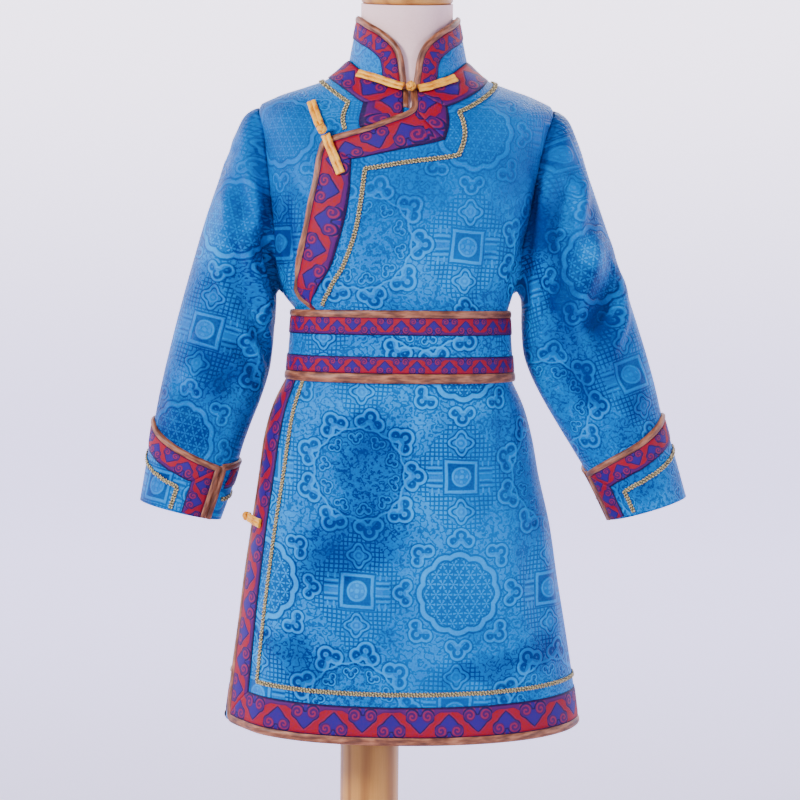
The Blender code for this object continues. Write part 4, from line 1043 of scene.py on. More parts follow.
trims = {
    "wall": 0.0015, "shell": 0.0012, "gap": 0.0003, "lap": 0.0018, "step": 0.0032,
    "ribbonWidth": 0.0285, "ribbonCore": 0.021, "ribbonThick": 0.0008, "ribbonShell": 0.0006,
    "ribbonEdge": 0.55, "ribbonRows": 8, "ribbonStart": 0.0139, "pipingStep": 0.0035,
    "pipingShell": 0.0005, "under": 0.92,  # the share of a piping's width where a ribbon begins
    # a rolled edge, from under the cloth round to its top: shares of its width, and lifts
    "roll": ((0.3, -0.0006), (0.06, -0.001), (-0.09, -0.0002), (-0.1, 0.001), (-0.01, 0.0021),
             (0.18, 0.003), (0.42, 0.0033), (0.68, 0.0031), (0.88, 0.0025), (1.0, 0.0015)),
    "plait": {"period": 0.0115, "side": 0.0016, "rise": 0.0006, "wide": 0.0009, "high": 0.0008,
              "step": 0.001, "around": 6, "lift": 0.0008},
}


def ribbon(name, skin, arms, base=0.0, lapped=False, width=None, node=None):
    # A woven ribbon in one or more arms, each between two lines, mitred where they meet.
    # Its layout is scaled by its width; what an arm is wider than that goes to the border.
    title, meshes = name + "_ribbon", []
    full, core, across = trims["ribbonWidth"], trims["ribbonCore"], trims["ribbonRows"]
    scale = full / (width or full)
    for number, (near, far, origin) in enumerate(arms):
        long = max(lengthsOf(skin, near)[-1], lengthsOf(skin, far)[-1])
        count = max(4, int(long / trims["step"] * fine))
        near, far = evened(skin, near, count), evened(skin, far, count)
        share = np.linspace(0, 1, across)[None, :, None]
        grid = near[:, None] * (1 - share) + far[:, None] * share
        height = np.array([trims["ribbonEdge"]] + [1.0] * (across - 2) + [trims["ribbonEdge"]])
        lift = base + trims["lap"] + trims["ribbonThick"] * height
        points = skin.drape(grid[..., 0], grid[..., 1], np.broadcast_to(lift, grid.shape[:2]), lapped)
        spots, guide = skin.place(grid[..., 0], grid[..., 1]), skin.place(near[:, 0], near[:, 1])
        reach = reached(guide)
        ahead = unit(np.gradient(guide, axis=0))
        nearest = np.linalg.norm(spots[:, :, None] - guide[None, None], axis=3).argmin(axis=2)
        along = reach[nearest] + ((spots - guide[nearest]) * ahead[nearest]).sum(axis=2)
        away = spots[:, -1] - guide[nearest[:, -1]]
        run = ahead[nearest[:, -1]]
        wide = np.linalg.norm(away - run * (away * run).sum(axis=1)[:, None], axis=1)[:, None] * scale
        wide = np.maximum(wide, full)
        out = share[..., 0] * wide
        out = np.minimum(out, core + (full - core) * (out - core) / (wide - core))
        along = along - reach[-1] * {"start": 0, "middle": 0.5, "end": 1}[origin]
        layout = np.stack([along * scale + number * trims["ribbonStart"], out], axis=-1)
        meshes.append(gridMesh(title, points, layout))
    return addPiece(title, joined(title, meshes), "ribbon", f"ribbon_{node or name}",
                    trims["ribbonShell"], 50)


def piping(name, skin, line, width, base=0.0, lapped=False, node=None):
    # A rolled satin edge along a line.
    count = max(4, int(lengthsOf(skin, line)[-1] / trims["pipingStep"] * fine))
    shares, lifts = zip(*trims["roll"])
    rails = np.stack([evened(skin, shifted(skin, line, share * width), count) for share in shares],
                     axis=1)
    lifts = np.broadcast_to(np.array(lifts) + base, rails.shape[:2])
    points = skin.drape(rails[..., 0], rails[..., 1], lifts, lapped)
    along, across = lengthsOf(skin, rails[:, 4]), reached(points[count // 2])
    layout = np.stack(np.broadcast_arrays(along[:, None], across[None, :]), axis=-1)
    title = name + "_piping"
    return addPiece(title, gridMesh(title, points, layout), "copperSatin",
                    f"piping_{node or name}", trims["pipingShell"], 0)


def braid(name, skin, line, base=0.0, lapped=False, node=None):
    # A plait of three twisted strands along a line.
    plait = trims["plait"]
    count = max(8, int(lengthsOf(skin, line)[-1] / plait["step"] * (0.6 if fine < 1 else 1)))
    line = evened(skin, line, count)
    spots = skin.drape(line[:, 0], line[:, 1], base + trims["wall"] + plait["lift"], lapped)
    normal = skin.slopes(line[:, 0], line[:, 1])[2]
    side = unit(np.cross(normal, unit(np.gradient(spots, axis=0))))
    reach = reached(spots)
    title, strands = name + "_braid", []
    for strand in range(3):
        phase = 2 * math.pi * (reach / plait["period"] + strand / 3)
        centres = (spots + side * (plait["side"] * np.sin(phase))[:, None]
                   + normal * (plait["rise"] * np.sin(2 * phase))[:, None])
        strands.append(tubeMesh(title, centres, side, normal, plait["wide"], plait["high"],
                                plait["around"]))
    return addPiece(title, joined(title, strands), "goldBraid", f"braid_{node or name}", smooth=0)


# ---- the robe's body, from the hem up to the neck

def table(names, *rows):
    return [dict(zip(names.split(), row)) for row in rows]


def rings(*rows):
    # Rings from their names, their sizes in millimetres and their squareness.
    return table(ringNames, *((name, *mm(sizes), square) for name, *sizes, square in rows))


columns, side, seam = 24, 6, 0.01   # columns round the body, the one at a side seam, half its gap
ringNames = "name halfWidth centreX centreY sideZ frontDepth frontZ backDepth backZ squareness"
bodyRings = rings(
    ("hem", 174.5, 1, -25, 364, 80, 355, 120, 362, 2.25),
    ("skirt1", 168.5, 1, -23, 408, 79, 403, 115, 407, 2.3),
    ("skirt2", 161, 1, -20, 455, 78, 454, 111, 455, 2.4),
    ("skirt3", 153, 0, -17, 508, 78, 507, 106, 508, 2.4),
    ("skirt4", 145, 0, -13, 560, 78, 560, 101, 560, 2.4),
    ("skirt5", 135.5, -2, -9, 610, 79, 610, 96, 610, 2.4),
    ("skirt6", 130, -3, -6, 645, 81, 645, 91, 645, 2.4),
    ("skirt7", 121.5, -3, -3, 675, 82, 675, 86, 675, 2.4),
    ("beltLow", 109.5, -2.5, 0, 700, 81, 700, 80, 700, 2.4),
    ("beltTop", 104, -2.5, 0, 770.5, 81, 770.5, 79, 770.5, 2.4),
    ("underarm", 113, -6.5, 0, 787, 85, 788.5, 83, 787, 2.4),
    ("rib1", 122.5, -6, 0, 815, 88.5, 811, 86.5, 813, 2.4),
    ("rib2", 128.5, -4.5, 0, 850, 90.5, 839, 88.5, 845, 2.4),
    ("chest1", 134, -3.5, 0, 886, 90.5, 867, 90.5, 878, 2.4),
    ("chest2", 139, -2.5, 0, 917, 88.5, 889, 89.5, 906, 2.3),
    ("chest3", 143, -1, 0, 944, 85, 909, 86.5, 930, 2.2),
    ("tip", 145.5, 0, 0, 967.5, 80.5, 929, 81, 952, 2.0),
    ("shoulder3", 127, 0, 0, 978.5, 75.5, 943, 75.5, 967, 2.0),
    ("shoulder2", 100, 0.5, 0, 988, 70.5, 956, 69, 983, 2.0),
    ("shoulder1", 78, 1, 0, 996.5, 65, 968, 61, 998, 2.0),
    ("neck", 57, 1.5, 0, 1014.5, 55.5, 982, 50, 1016, 2.0),
)
rowOf = {ring["name"]: number for number, ring in enumerate(bodyRings)}
top, beltLow, beltTop = rowOf["neck"], rowOf["beltLow"], rowOf["beltTop"]
underarm, tip = rowOf["underarm"], rowOf["tip"]
skirtFolds = table(
    "column reach topRow depth",
    (-7.1, 1.6, 5.4, -0.007), (-4.5, 1.6, 5.0, -0.008), (-2.4, 1.9, 5.0, 0.004),
    (0.2, 1.88, 4.2, -0.003), (3.15, 1.8, 5.4, 0.004), (7.88, 1.8, 6.0, -0.006),
    (10.2, 1.8, 5.0, 0.006), (13.05, 1.88, 6.0, -0.006), (15.6, 1.8, 5.0, 0.006),
)
bodyCreases = mm((
    # on the front, in millimetres: x and z along it, width, depth
    (((-113, 862), (-112.5, 840), (-109, 815), (-103, 790)), 5, -6),
    (((-101, 858), (-100.5, 838), (-98.5, 815)), 3.5, 2.2),
    (((118, 850), (111, 822), (100, 793)), 8, -4.6),
    (((-20, 776), (-26, 798), (-36, 822)), 4.5, -1.4),
    (((30, 776), (35, 797), (47, 826)), 5, -1.8),
    (((66, 778), (73, 806), (87, 835)), 5.5, -1.9),
    (((85, 868), (102, 884), (118, 905)), 7, -1.6),
    (((-86, 694), (-92, 668), (-94, 635)), 6, -2.2),
    (((-40, 696), (-38, 672), (-42, 650)), 5.5, -1.6),
    (((2, 696), (6, 668), (3, 632)), 6.5, -2),
    (((47, 695), (44, 665), (52, 640)), 6, -1.9),
    (((88, 693), (95, 660), (101, 615)), 7.5, -2.7),
    (((35, 650), (8, 610), (-25, 575), (-48, 530)), 19, -4.3),
    (((-90, 560), (-62, 530), (-20, 520), (35, 540)), 17, -3),
    (((118, 560), (129, 500), (137, 450)), 12, -3.5),
    (((-110, 470), (-85, 440), (-58, 410)), 12, -3),
    (((15, 430), (50, 418), (95, 425)), 11, -2.2),
    (((-15, 372), (-10, 395), (-18, 425)), 7, 1.9),
    (((78, 376), (83, 398), (76, 430)), 8, 2),
))
backCreases = (
    # on the back, as columns and rows
    (((8.1, 10.2), (8.5, 11.6), (8.2, 13.2)), 0.0055, -0.0049),
    (((15.8, 10.2), (15.5, 11.4), (15.9, 13.0)), 0.006, -0.0044),
    (((11.2, 9.2), (11.0, 10.4), (10.6, 11.6)), 0.005, -0.0017),
    (((13.2, 9.2), (13.5, 10.6), (14.0, 12.0)), 0.005, -0.0018),
    (((10.3, 15.6), (12.0, 15.0), (13.9, 15.7)), 0.008, -0.0018),
    (((9.3, 7.9), (9.2, 7.0), (9.4, 5.9)), 0.006, -0.0023),
    (((11.0, 7.9), (11.2, 6.8), (11.0, 5.6)), 0.0065, -0.0026),
    (((12.9, 7.9), (12.7, 7.0), (12.9, 6.0)), 0.006, -0.0021),
    (((14.6, 7.9), (14.9, 6.8), (14.8, 5.4)), 0.007, -0.0029),
    (((16.6, 7.9), (16.9, 6.6), (16.7, 5.6)), 0.006, -0.0023),
    (((9.6, 4.6), (10.9, 3.7), (11.6, 2.5)), 0.015, -0.0039),
    (((14.9, 4.4), (14.0, 3.2), (13.8, 1.8)), 0.015, -0.0036),
    (((16.6, 3.2), (16.2, 2.2), (16.4, 1.0)), 0.011, -0.0031),
)


def quarter(squareness, steps):
    angles = np.linspace(0, math.pi / 2, 200)
    power = 2 / squareness
    across, ahead = np.sin(angles) ** power, np.cos(angles) ** power
    lengths = reached(np.stack([across, ahead], axis=1))
    wanted = np.linspace(0, lengths[-1], steps + 1)
    return np.interp(wanted, lengths, across), np.interp(wanted, lengths, ahead)


def ringPoints(ring):
    steps = columns // 4
    across, ahead = quarter(ring["squareness"], steps)
    points = []
    for column in range(columns):
        turn, step = divmod(column, steps)
        sideways, reach = ((across[steps - step], ahead[steps - step]) if turn % 2
                           else (across[step], ahead[step]))
        front = turn in (0, 3)
        depth, endZ = ((ring["frontDepth"], ring["frontZ"]) if front
                       else (ring["backDepth"], ring["backZ"]))
        points.append((ring["centreX"] + ring["halfWidth"] * sideways * (1 if turn < 2 else -1),
                       ring["centreY"] + depth * reach * (-1 if front else 1),
                       endZ + (ring["sideZ"] - endZ) * sideways ** 2))
    return points


def bump(distance, reach):
    return math.cos(math.pi / 2 * distance / reach) ** 2 if abs(distance) < reach else 0.0


def standOff(i, j):
    # How far the outer front is held off the inner one: all of it on the left, none at the
    # right side seam and at the neck.
    near = (i + columns / 2) % columns - columns / 2
    fall = np.where(near >= -side - 1, np.clip((side - near) / (side - 2.0), 0, 1),
                    np.clip(1 + (near + side + 1) / 2, 0, 1))
    return trims["lap"] * fall * np.clip(top - j, 0, 1)


def makeBody():
    plain = Skin([ringPoints(ring) for ring in bodyRings])
    rings = plain.rings.copy()
    for row in range(plain.rows):
        for column in range(columns):
            out = plain.slopes(column, row)[2]
            for fold in skirtFolds:
                share = max(0.0, 1 - row / fold["topRow"])
                apart = (column - fold["column"] + 12) % columns - 12
                rings[row, column] += out * fold["depth"] * share * bump(apart, fold["reach"])
    body = Skin(rings, bends=(beltLow, beltTop))
    body.standoff = standOff
    for points, width, depth in bodyCreases:
        body.crease(points, width, depth, located=True)
    for points, width, depth in backCreases:
        body.crease(points, width, depth)
    for number in (-1, 1):  # the armhole seams are drawn in a little
        seamLine = armhole(number)
        body.crease(np.vstack([seamLine[2:], seamLine[:1]]), 0.003, -0.0014)
    return body


collarShape = {
    "top": rings(("top", 48.4, 1, 0, 1059, 50, 1042, 49, 1061, 2.0))[0],
    "gap": 0.00036, "shares": (0.0, 0.3, 1.0), "shoulder": 5.5, "ribbon": 0.0155,
    "left": mm(((0, 985), (-1.2, 996), (-3, 1010), (-8.5, 1025),
             (-23.5, 1040), (-38, 1050))),
    "right": mm(((7, 985), (8.2, 996), (10, 1010), (15.5, 1025),
              (30, 1040), (43, 1050))),
}


def makeCollarSkin(body):
    foot = body.rings[top] + np.array([0, 0, collarShape["gap"]])
    head = np.array(ringPoints(collarShape["top"]))
    return Skin([foot + (head - foot) * share for share in collarShape["shares"]])


# ---- sleeves

armholeReach, armholePower, sleeveColumns = 1.46, 0.75, 16
sleeveNames = "outerX outerZ innerX innerZ halfDepth centreY"
sleeveShape = {
    "left": table(sleeveNames, *mm((
        (-150, 966, -124.5, 790.5, 39, 0),
        (-157.5, 961, -128.5, 785, 42.5, 0),
        (-169, 938, -129.5, 774, 46.5, 0),
        (-183, 898.5, -130, 761, 48, -1),
        (-196.5, 858, -131, 747, 47, -2),
        (-208.5, 816, -132, 731, 45, -3),
        (-220, 774, -135, 709, 43, -4),
        (-231, 730, -143, 682, 41, -5),
        (-240, 690, -153, 656, 39, -6),
        (-245.5, 660, -161, 633, 37, -7),
        (-250.5, 625, -169, 603, 35.5, -8),
        (-258, 578.5, -183.5, 561, 34.5, -9)))),
    "right": table(sleeveNames, *mm((
        (150, 966, 112.5, 790.5, 39, 0),
        (157.5, 961, 116.5, 785, 42.5, 0),
        (169, 938, 118.5, 774, 46.5, 0),
        (181.5, 901, 119, 761, 48, -1),
        (195.5, 861.5, 119.5, 745, 47, -2),
        (209.5, 821, 121.5, 727, 45, -3),
        (224, 778, 129, 706, 43, -4),
        (237.5, 737, 141, 683, 41, -5),
        (249, 698, 156, 658, 39, -6),
        (257, 665, 171, 634, 37, -7),
        (267.5, 630, 188, 606, 35.5, -8),
        (280, 587, 208.5, 565, 34.5, -9)))),
    "folds": table(
        "column row columnReach rowReach depth",
        (3.4, 5.0, 1.6, 1.7, 0.0045), (2.4, 6.8, 1.5, 1.6, -0.004), (4.6, 7.6, 1.8, 1.6, 0.003),
        (12.6, 5.6, 1.8, 1.7, 0.004), (13.6, 7.4, 1.6, 1.6, -0.003)),
    # on the front, in millimetres: x and z along it, width, depth
    "leftCreases": mm((
        (((-153, 836), (-150, 810), (-143, 785), (-134, 762)), 6.2, 10.1),
        (((-140, 846), (-135, 826), (-131, 802), (-129, 782)), 6, -10.5),
        (((-166, 892), (-160, 866), (-157, 838)), 8, -8.2),
        (((-152, 905), (-147, 880), (-144, 858)), 6, 4.3),
        (((-170, 838), (-166, 806), (-154, 775), (-142, 752)), 8.5, -7.8),
        (((-156, 742), (-148, 728), (-140, 706)), 5.5, 6.2),
        (((-151, 757), (-142, 745), (-135, 728)), 5, -6.6),
        (((-196, 722), (-176, 706), (-156, 690)), 9.5, -5.8),
        (((-204, 748), (-185, 735), (-168, 722)), 8, 3.1),
        (((-225, 700), (-212, 682), (-196, 668)), 8.5, -3.5),
        (((-190, 940), (-180, 925), (-172, 900)), 7, -2.3))),
    "rightCreases": mm((
        (((188, 838), (180, 812), (169, 786), (160, 764)), 9.5, 9),
        (((208, 818), (202, 790), (190, 758), (177, 736)), 10, -10.1),
        (((218, 774), (210, 750), (198, 728)), 6.5, 5.8),
        (((164, 905), (156, 876), (150, 842), (148, 812)), 9.5, -9),
        (((143, 912), (138, 885), (135, 858)), 5.5, 4.3),
        (((176, 905), (172, 880), (164, 850)), 8, 3.5),
        (((142, 752), (152, 730), (160, 706)), 8, -7),
        (((228, 726), (212, 706), (190, 690)), 9, -5.5),
        (((134, 800), (137, 778), (146, 760)), 6, -5.8),
        (((240, 690), (224, 676), (206, 668)), 8, 3.1))),
    # on the back, as columns and rows
    "leftBack": (
        (((14.6, 2.4), (14.0, 4.0), (14.6, 5.6)), 0.008, -0.006),
        (((12.6, 3.0), (12.9, 4.8), (14.0, 6.2)), 0.009, 0.0039),
        (((13.6, 5.6), (12.6, 6.8), (11.6, 7.6)), 0.008, -0.0044),
        (((14.4, 7.0), (13.2, 7.9), (12.0, 8.4)), 0.007, 0.0026),
        (((11.4, 2.2), (11.2, 3.6), (11.9, 5.0)), 0.008, -0.0026)),
    "rightBack": (
        (((1.5, 2.4), (2.0, 4.0), (1.4, 5.6)), 0.008, -0.006),
        (((3.4, 3.0), (3.1, 4.8), (2.0, 6.2)), 0.009, 0.0039),
        (((2.4, 5.6), (3.4, 6.8), (4.4, 7.6)), 0.008, -0.0044),
        (((1.8, 7.2), (3.0, 8.1), (4.2, 8.7)), 0.007, 0.0026),
        (((4.8, 2.4), (4.9, 3.9), (4.2, 5.2)), 0.008, -0.0026)),
}


def armhole(number, count=64):
    # An armhole's outline on the pattern, from under the arm towards the lower columns.
    middle, reach = (underarm + tip) / 2, (tip - underarm) / 2
    turn = 2 * math.pi * np.arange(count) / count
    across = np.sign(np.sin(turn)) * np.abs(np.sin(turn)) ** armholePower
    return np.stack([number * side - armholeReach * across, middle - reach * np.cos(turn)], axis=1)


def makeSleeveSkin(body, name):
    number = -1 if name == "left" else 1
    hole = armhole(number, sleeveColumns)
    hole[:, 0] = 2 * number * side - hole[:, 0]     # a sleeve's columns run the other way
    middle = np.array([number * side, (underarm + tip) / 2])
    hole = hole + (middle - hole) * 0.006
    grid = [body.place(hole[:, 0], hole[:, 1])]
    turn = 2 * math.pi * np.arange(sleeveColumns) / sleeveColumns
    for row, ring in enumerate(sleeveShape[name], 1):
        outer = np.array([ring["outerX"], ring["centreY"], ring["outerZ"]])
        inner = np.array([ring["innerX"], ring["centreY"], ring["innerZ"]])
        loop = (outer + inner) / 2 - (outer - inner) / 2 * np.cos(turn)[:, None]
        loop[:, 1] += number * ring["halfDepth"] * np.sin(turn)
        for fold in sleeveShape["folds"]:
            for column in range(sleeveColumns):
                apart = (column - fold["column"] + 8) % sleeveColumns - 8
                push = bump(apart, fold["columnReach"]) * bump(row - fold["row"], fold["rowReach"])
                loop[column, 1] += number * math.sin(turn[column]) * push * fold["depth"]
        grid.append(loop)
    skin = Skin(grid)
    for points, width, depth in sleeveShape[name + "Creases"]:
        skin.crease(points, width, depth, located=True)
    for points, width, depth in sleeveShape[name + "Back"]:
        skin.crease(points, width, depth)
    return skin


# ---- the pieces of the robe

frontCut = {
    "lap": mm(((4.5, 980), (5.5, 970), (5, 962.5), (-1, 958.5),
            (-14, 953.5), (-34, 945.5), (-58, 938.5), (-70, 935),
            (-80, 930), (-82.5, 922), (-87, 894), (-92, 870),
            (-96.5, 845), (-101, 820), (-103.5, 805), (-105, 790))),
    "lapFoot": 0.02, "lapCorners": mm(((5, 962.5), (-80, 930))),
    "ribbon": mm(((39, 964), (37, 932), (-5, 922.5), (-51, 913),
               (-52.5, 879), (-60, 842), (-73, 805), (-89, 776))),
    "braid": mm(((50, 959), (50, 918), (4, 911), (-38, 904),
              (-41.5, 875), (-48.5, 838), (-62, 805), (-77, 776))),
    "skirtEdge": ((-5.7, 7.99), (-5.45, 7.0), (-5.36, 6.0), (-5.46, 5.0), (-5.56, 4.0),
                  (-5.56, 3.0), (-5.56, 2.0), (-5.5, 1.0), (-5.46, 0.3), (-5.36, 0.08),
                  (-5.14, 0.0)),
    "skirtCorner": (-5.48, 0.0), "hemPiping": 0.0075, "hemRibbon": 0.0285, "hemBraid": 0.045,
    "piping": 0.006, "braidWidth": 0.0065,
    "innerRibbon": mm(((-56, 979), (-41, 968), (-44, 944))),
    "innerBraid": mm(((-69, 979), (-55.5, 969), (-58, 942))),
    "innerEnd": mm((-3, 956)), "slitX": 0.0015, "slitEndZ": 0.9635, "innerPiping": 0.005,
    "underReach": 1.5,
    "neckRibbon": 0.023, "neckBraid": 0.031, "inset": 0.9, "turn": 0.03,
}


def lapLine(body):
    lap = body.find(frontCut["lap"])
    lap[0, 1] = top
    lap = np.vstack([lap, [lap[-2][0] + frontCut["lapFoot"], beltTop]])
    return smoothLine(body, lap, 0.0035)


hemStep = 0.005
# rows of the neck's edge, the ribbon's far side and the braid at the shoulder seam, and how far
# from the hem its ribbon begins and ends and its braid runs
neckRow, ribbonRow, braidRow = top - 0.03, rowOf["shoulder1"] + 0.05, rowOf["shoulder1"] - 0.28
hemReach = (frontCut["hemPiping"] * trims["under"],
            frontCut["hemPiping"] + trims["gap"] + frontCut["hemRibbon"],
            frontCut["hemBraid"] + frontCut["braidWidth"] / 2)


def shoulderEnd(number, row):
    return (number * (side - seam), row)


def makeOuterFront(body):
    lap = lapLine(body)
    skirt = smoothLine(body, frontCut["skirtEdge"], 0.006)
    rightHole = armhole(1)[:33]
    outline = np.vstack([
        lap, skirt, [(side - seam, 0), (side - seam, underarm)], rightHole[1:-1] - (seam, 0),
        [(side - seam, tip), (side - seam, top)]])
    cloth = panel("outer_front", body, outline, lapped=True, level=beltTop, turn=frontCut["turn"])
    pieces = [piping("lap", body, lap, frontCut["piping"], lapped=True)]
    # the ribbon's arms: round the neck, down the slit, across the chest and down to the belt
    inset = shifted(body, lap, frontCut["piping"] * frontCut["inset"])
    corners = body.find(frontCut["lapCorners"])
    slit, chest, down = partedAt(body, inset, corners)
    far = body.find(frontCut["ribbon"])
    neck = [shoulderEnd(1, neckRow), (3.0, neckRow), (slit[0][0], neckRow)]
    arms = (
        (smoothLine(body, neck), smoothLine(body, [shoulderEnd(1, ribbonRow), far[0]]), "end"),
        (slit, smoothLine(body, far[:2]), "start"),
        (chest, smoothLine(body, far[1:4]), "middle"),
        (down, smoothLine(body, far[3:]), "start"))
    pieces.append(ribbon("lap", body, arms, lapped=True))
    line = np.vstack([[shoulderEnd(1, braidRow)], body.find(frontCut["braid"])])
    line = smoothLine(body, line, 0.0015, bends=(1, 2, 4))
    pieces.append(braid("lap", body, line, lapped=True))

    # the skirt's edge and the hem, mitred at the lower corner
    hemEnd = (side - seam, 0.0)
    edge = np.vstack([skirt, smoothLine(body, [skirt[-1], (0.0, 0.0), hemEnd], hemStep)[1:]])
    pieces.append(piping("skirt", body, edge, frontCut["hemPiping"], lapped=True))
    upright = smoothLine(body, list(frontCut["skirtEdge"][:-2]) + [frontCut["skirtCorner"]], hemStep)
    level = smoothLine(body, [frontCut["skirtCorner"], (-2.0, 0.0), (2.0, 0.0), hemEnd], hemStep)
    near, far, middle = (meeting(shifted(body, upright, reach), shifted(body, level, reach))
                         for reach in hemReach)
    pieces.append(ribbon("skirt", body, ((near[0], far[0], "end"), (near[1], far[1], "start")),
                         lapped=True, width=frontCut["hemRibbon"]))
    pieces.append(braid("skirt", body, np.vstack([middle[0], middle[1][1:]]), lapped=True))
    declare(cloth)


def makeInnerFront(body):
    leftHole = armhole(-1)
    leftHole[:, 0] = -side * 2 - leftHole[:, 0]          # the front half, from under the arm up
    slitTop = (body.find([(frontCut["slitX"], 0.981)])[0][0], top)
    slitEnd = body.find([(frontCut["slitX"], frontCut["slitEndZ"])])[0]
    turnDown = (frontCut["underReach"], rowOf["shoulder2"] - 0.6)
    half = leftHole[1:32]
    half = half[np.argsort(half[:, 1])]
    outline = np.vstack([
        [slitTop, slitEnd, turnDown, (frontCut["underReach"], 0), (-side + seam, 0),
         (-side + seam, underarm)], half + (seam, 0),
        [(-side + seam, tip), (-side + seam, top)]])
    cloth = panel("inner_front", body, outline, level=beltTop, turn=frontCut["turn"])
    slit = smoothLine(body, [slitEnd, ((slitEnd[0] + slitTop[0]) / 2, (slitEnd[1] + top) / 2),
                             (slitTop[0], neckRow)], 0.002)
    pieces = [piping("slit", body, slit, frontCut["innerPiping"], node="inner")]
    inset = shifted(body, slit, frontCut["innerPiping"] * frontCut["inset"])[::-1]
    inset = np.vstack([inset, body.find([frontCut["innerEnd"]])])
    far = body.find(frontCut["innerRibbon"])
    neck = smoothLine(body, [inset[0], (-3.0, neckRow), shoulderEnd(-1, neckRow)])[::-1]
    outer = smoothLine(body, [shoulderEnd(-1, ribbonRow), far[0], far[1]])
    arms = ((neck, outer, "end"), (inset, smoothLine(body, far[1:]), "start"))
    pieces.append(ribbon("slit", body, arms, node="inner"))
    line = np.vstack([[shoulderEnd(-1, braidRow)], body.find(frontCut["innerBraid"])])
    line = smoothLine(body, line, 0.0015, bends=(2,))
    pieces.append(braid("slit", body, line, node="inner"))
    declare(cloth)


def makeBack(body):
    first, last, neckLow = side + seam, 3 * side - seam, top - 0.02
    outline = np.vstack([
        [(first, 0), (last, 0), (last, underarm)], armholeBack(-1),
        [(last, tip), (last, top), (first, top), (first, tip)], armholeBack(1)[::-1],
        [(first, underarm)]])
    cloth = panel("back", body, outline, centre=12, level=beltTop)
    columnsBack = (first, 9.0, 12.0, 15.0, last)
    hem = smoothLine(body, [(column, 0.0) for column in columnsBack], hemStep)
    pieces = [piping("back_hem", body, hem, frontCut["hemPiping"], node="hem_back")]
    near, far, middle = (shifted(body, hem, reach) for reach in hemReach)
    pieces.append(ribbon("back_hem", body, ((near, far, "middle"),), width=frontCut["hemRibbon"],
                         node="hem_back"))
    pieces.append(braid("back_hem", body, middle, node="hem_back"))
    neck = smoothLine(body, [(column, neckLow) for column in columnsBack[::-1]], 0.003)
    pieces.append(ribbon("back_neck", body,
                         ((neck, shifted(body, neck, frontCut["neckRibbon"]), "middle"),),
                         node="neck_back"))
    reach = frontCut["neckBraid"] + frontCut["braidWidth"] / 2
    pieces.append(braid("back_neck", body, shifted(body, neck, reach), node="neck_back"))
    declare(cloth)


def armholeBack(number):
    # Half an armhole's outline on the back's pattern, from under the arm up.
    hole = armhole(1)[1:32]
    hole[:, 0] = 2 * side - hole[:, 0] + seam
    if number < 0:
        hole[:, 0] = 4 * side - hole[:, 0]
    return hole


def makeCollar(collar):
    last = collar.rows - 1
    left = collar.find(collarShape["left"]) + (columns, 0)
    right = collar.find(collarShape["right"])
    first, second = (columns - collarShape["shoulder"], last), (collarShape["shoulder"], last)
    edge = np.vstack([
        smoothLine(collar, np.vstack([[(left[0][0], 0)], left, [first]]), 0.003),
        smoothLine(collar, [first, (12.0, last), second], 0.004)[1:-1],
        smoothLine(collar, np.vstack([[second], right[::-1], [(right[0][0], 0)]]), 0.003)])
    cloth = panel("collar", collar, edge, centre=12)
    pieces = [piping("collar", collar, edge, frontCut["piping"])]
    near = shifted(collar, edge, frontCut["piping"] * frontCut["inset"])
    far = shifted(collar, edge, frontCut["piping"] + trims["gap"] + collarShape["ribbon"])
    near, far = matched(collar, near, far)
    pieces.append(ribbon("collar", collar, ((near, far, "middle"),), width=collarShape["ribbon"]))
    declare(cloth)


def matched(skin, near, far, count=120):
    # Points on two lines that lie across from each other, however they bend.
    near = evened(skin, near, count)
    dense = evened(skin, far, 400)
    spots, others = skin.place(near[:, 0], near[:, 1]), skin.place(dense[:, 0], dense[:, 1])
    nearest = np.linalg.norm(spots[:, None] - others[None], axis=2).argmin(axis=1).astype(float)
    nearest[0], nearest[-1] = 0, len(dense) - 1
    nearest = np.maximum.accumulate(nearest)
    soft = np.convolve(np.pad(nearest, 6, mode="reflect", reflect_type="odd"), np.ones(13) / 13, "valid")
    soft = np.clip(soft, 0, len(dense) - 1)
    picked = np.stack([np.interp(soft, np.arange(len(dense)), dense[:, axis]) for axis in (0, 1)],
                      axis=1)
    return near, picked


belt = {"topPiping": 0.0062, "lowPiping": 0.0085, "ribbon": 0.0155}


def makeBelt(body):
    first, last = -2 * side + seam, 2 * side - seam
    base = trims["lap"]
    outline = [(first, beltLow), (last, beltLow), (last, beltTop), (first, beltTop)]
    cloth = panel("belt", body, outline, base, lapped=True, level=beltLow)
    for place, ends, row, width in (("belt_bottom", (first, last), beltLow, belt["lowPiping"]),
                                    ("belt_top", (last, first), beltTop, belt["topPiping"])):
        line = smoothLine(body, [(column, row) for column in np.linspace(*ends, 9)], hemStep)
        piping(place, body, line, width, base, True)
        near = shifted(body, line, width * trims["under"])
        far = shifted(body, line, width + trims["gap"] + belt["ribbon"])
        ribbon(place, body, ((near, far, "middle"),), base, True, belt["ribbon"])
    declare(cloth)


cuffs = {
    "left": ((2.1, 0.053), (3.4, 0.057), (4.8, 0.063), (6.4, 0.073), (7.6, 0.082), (8.4, 0.084),
             (9.6, 0.079), (11.2, 0.07), (13.6, 0.064), (16.0, 0.062), (18.1, 0.055)),
    "right": ((-0.5, 0.055), (1.6, 0.062), (4.0, 0.067), (6.4, 0.076), (7.6, 0.085), (8.4, 0.086),
              (9.6, 0.079), (11.2, 0.069), (13.2, 0.061), (15.5, 0.052)),
    "ribbon": 0.0175, "braid": 0.031, "open": 0.03, "end": 0.56,
}


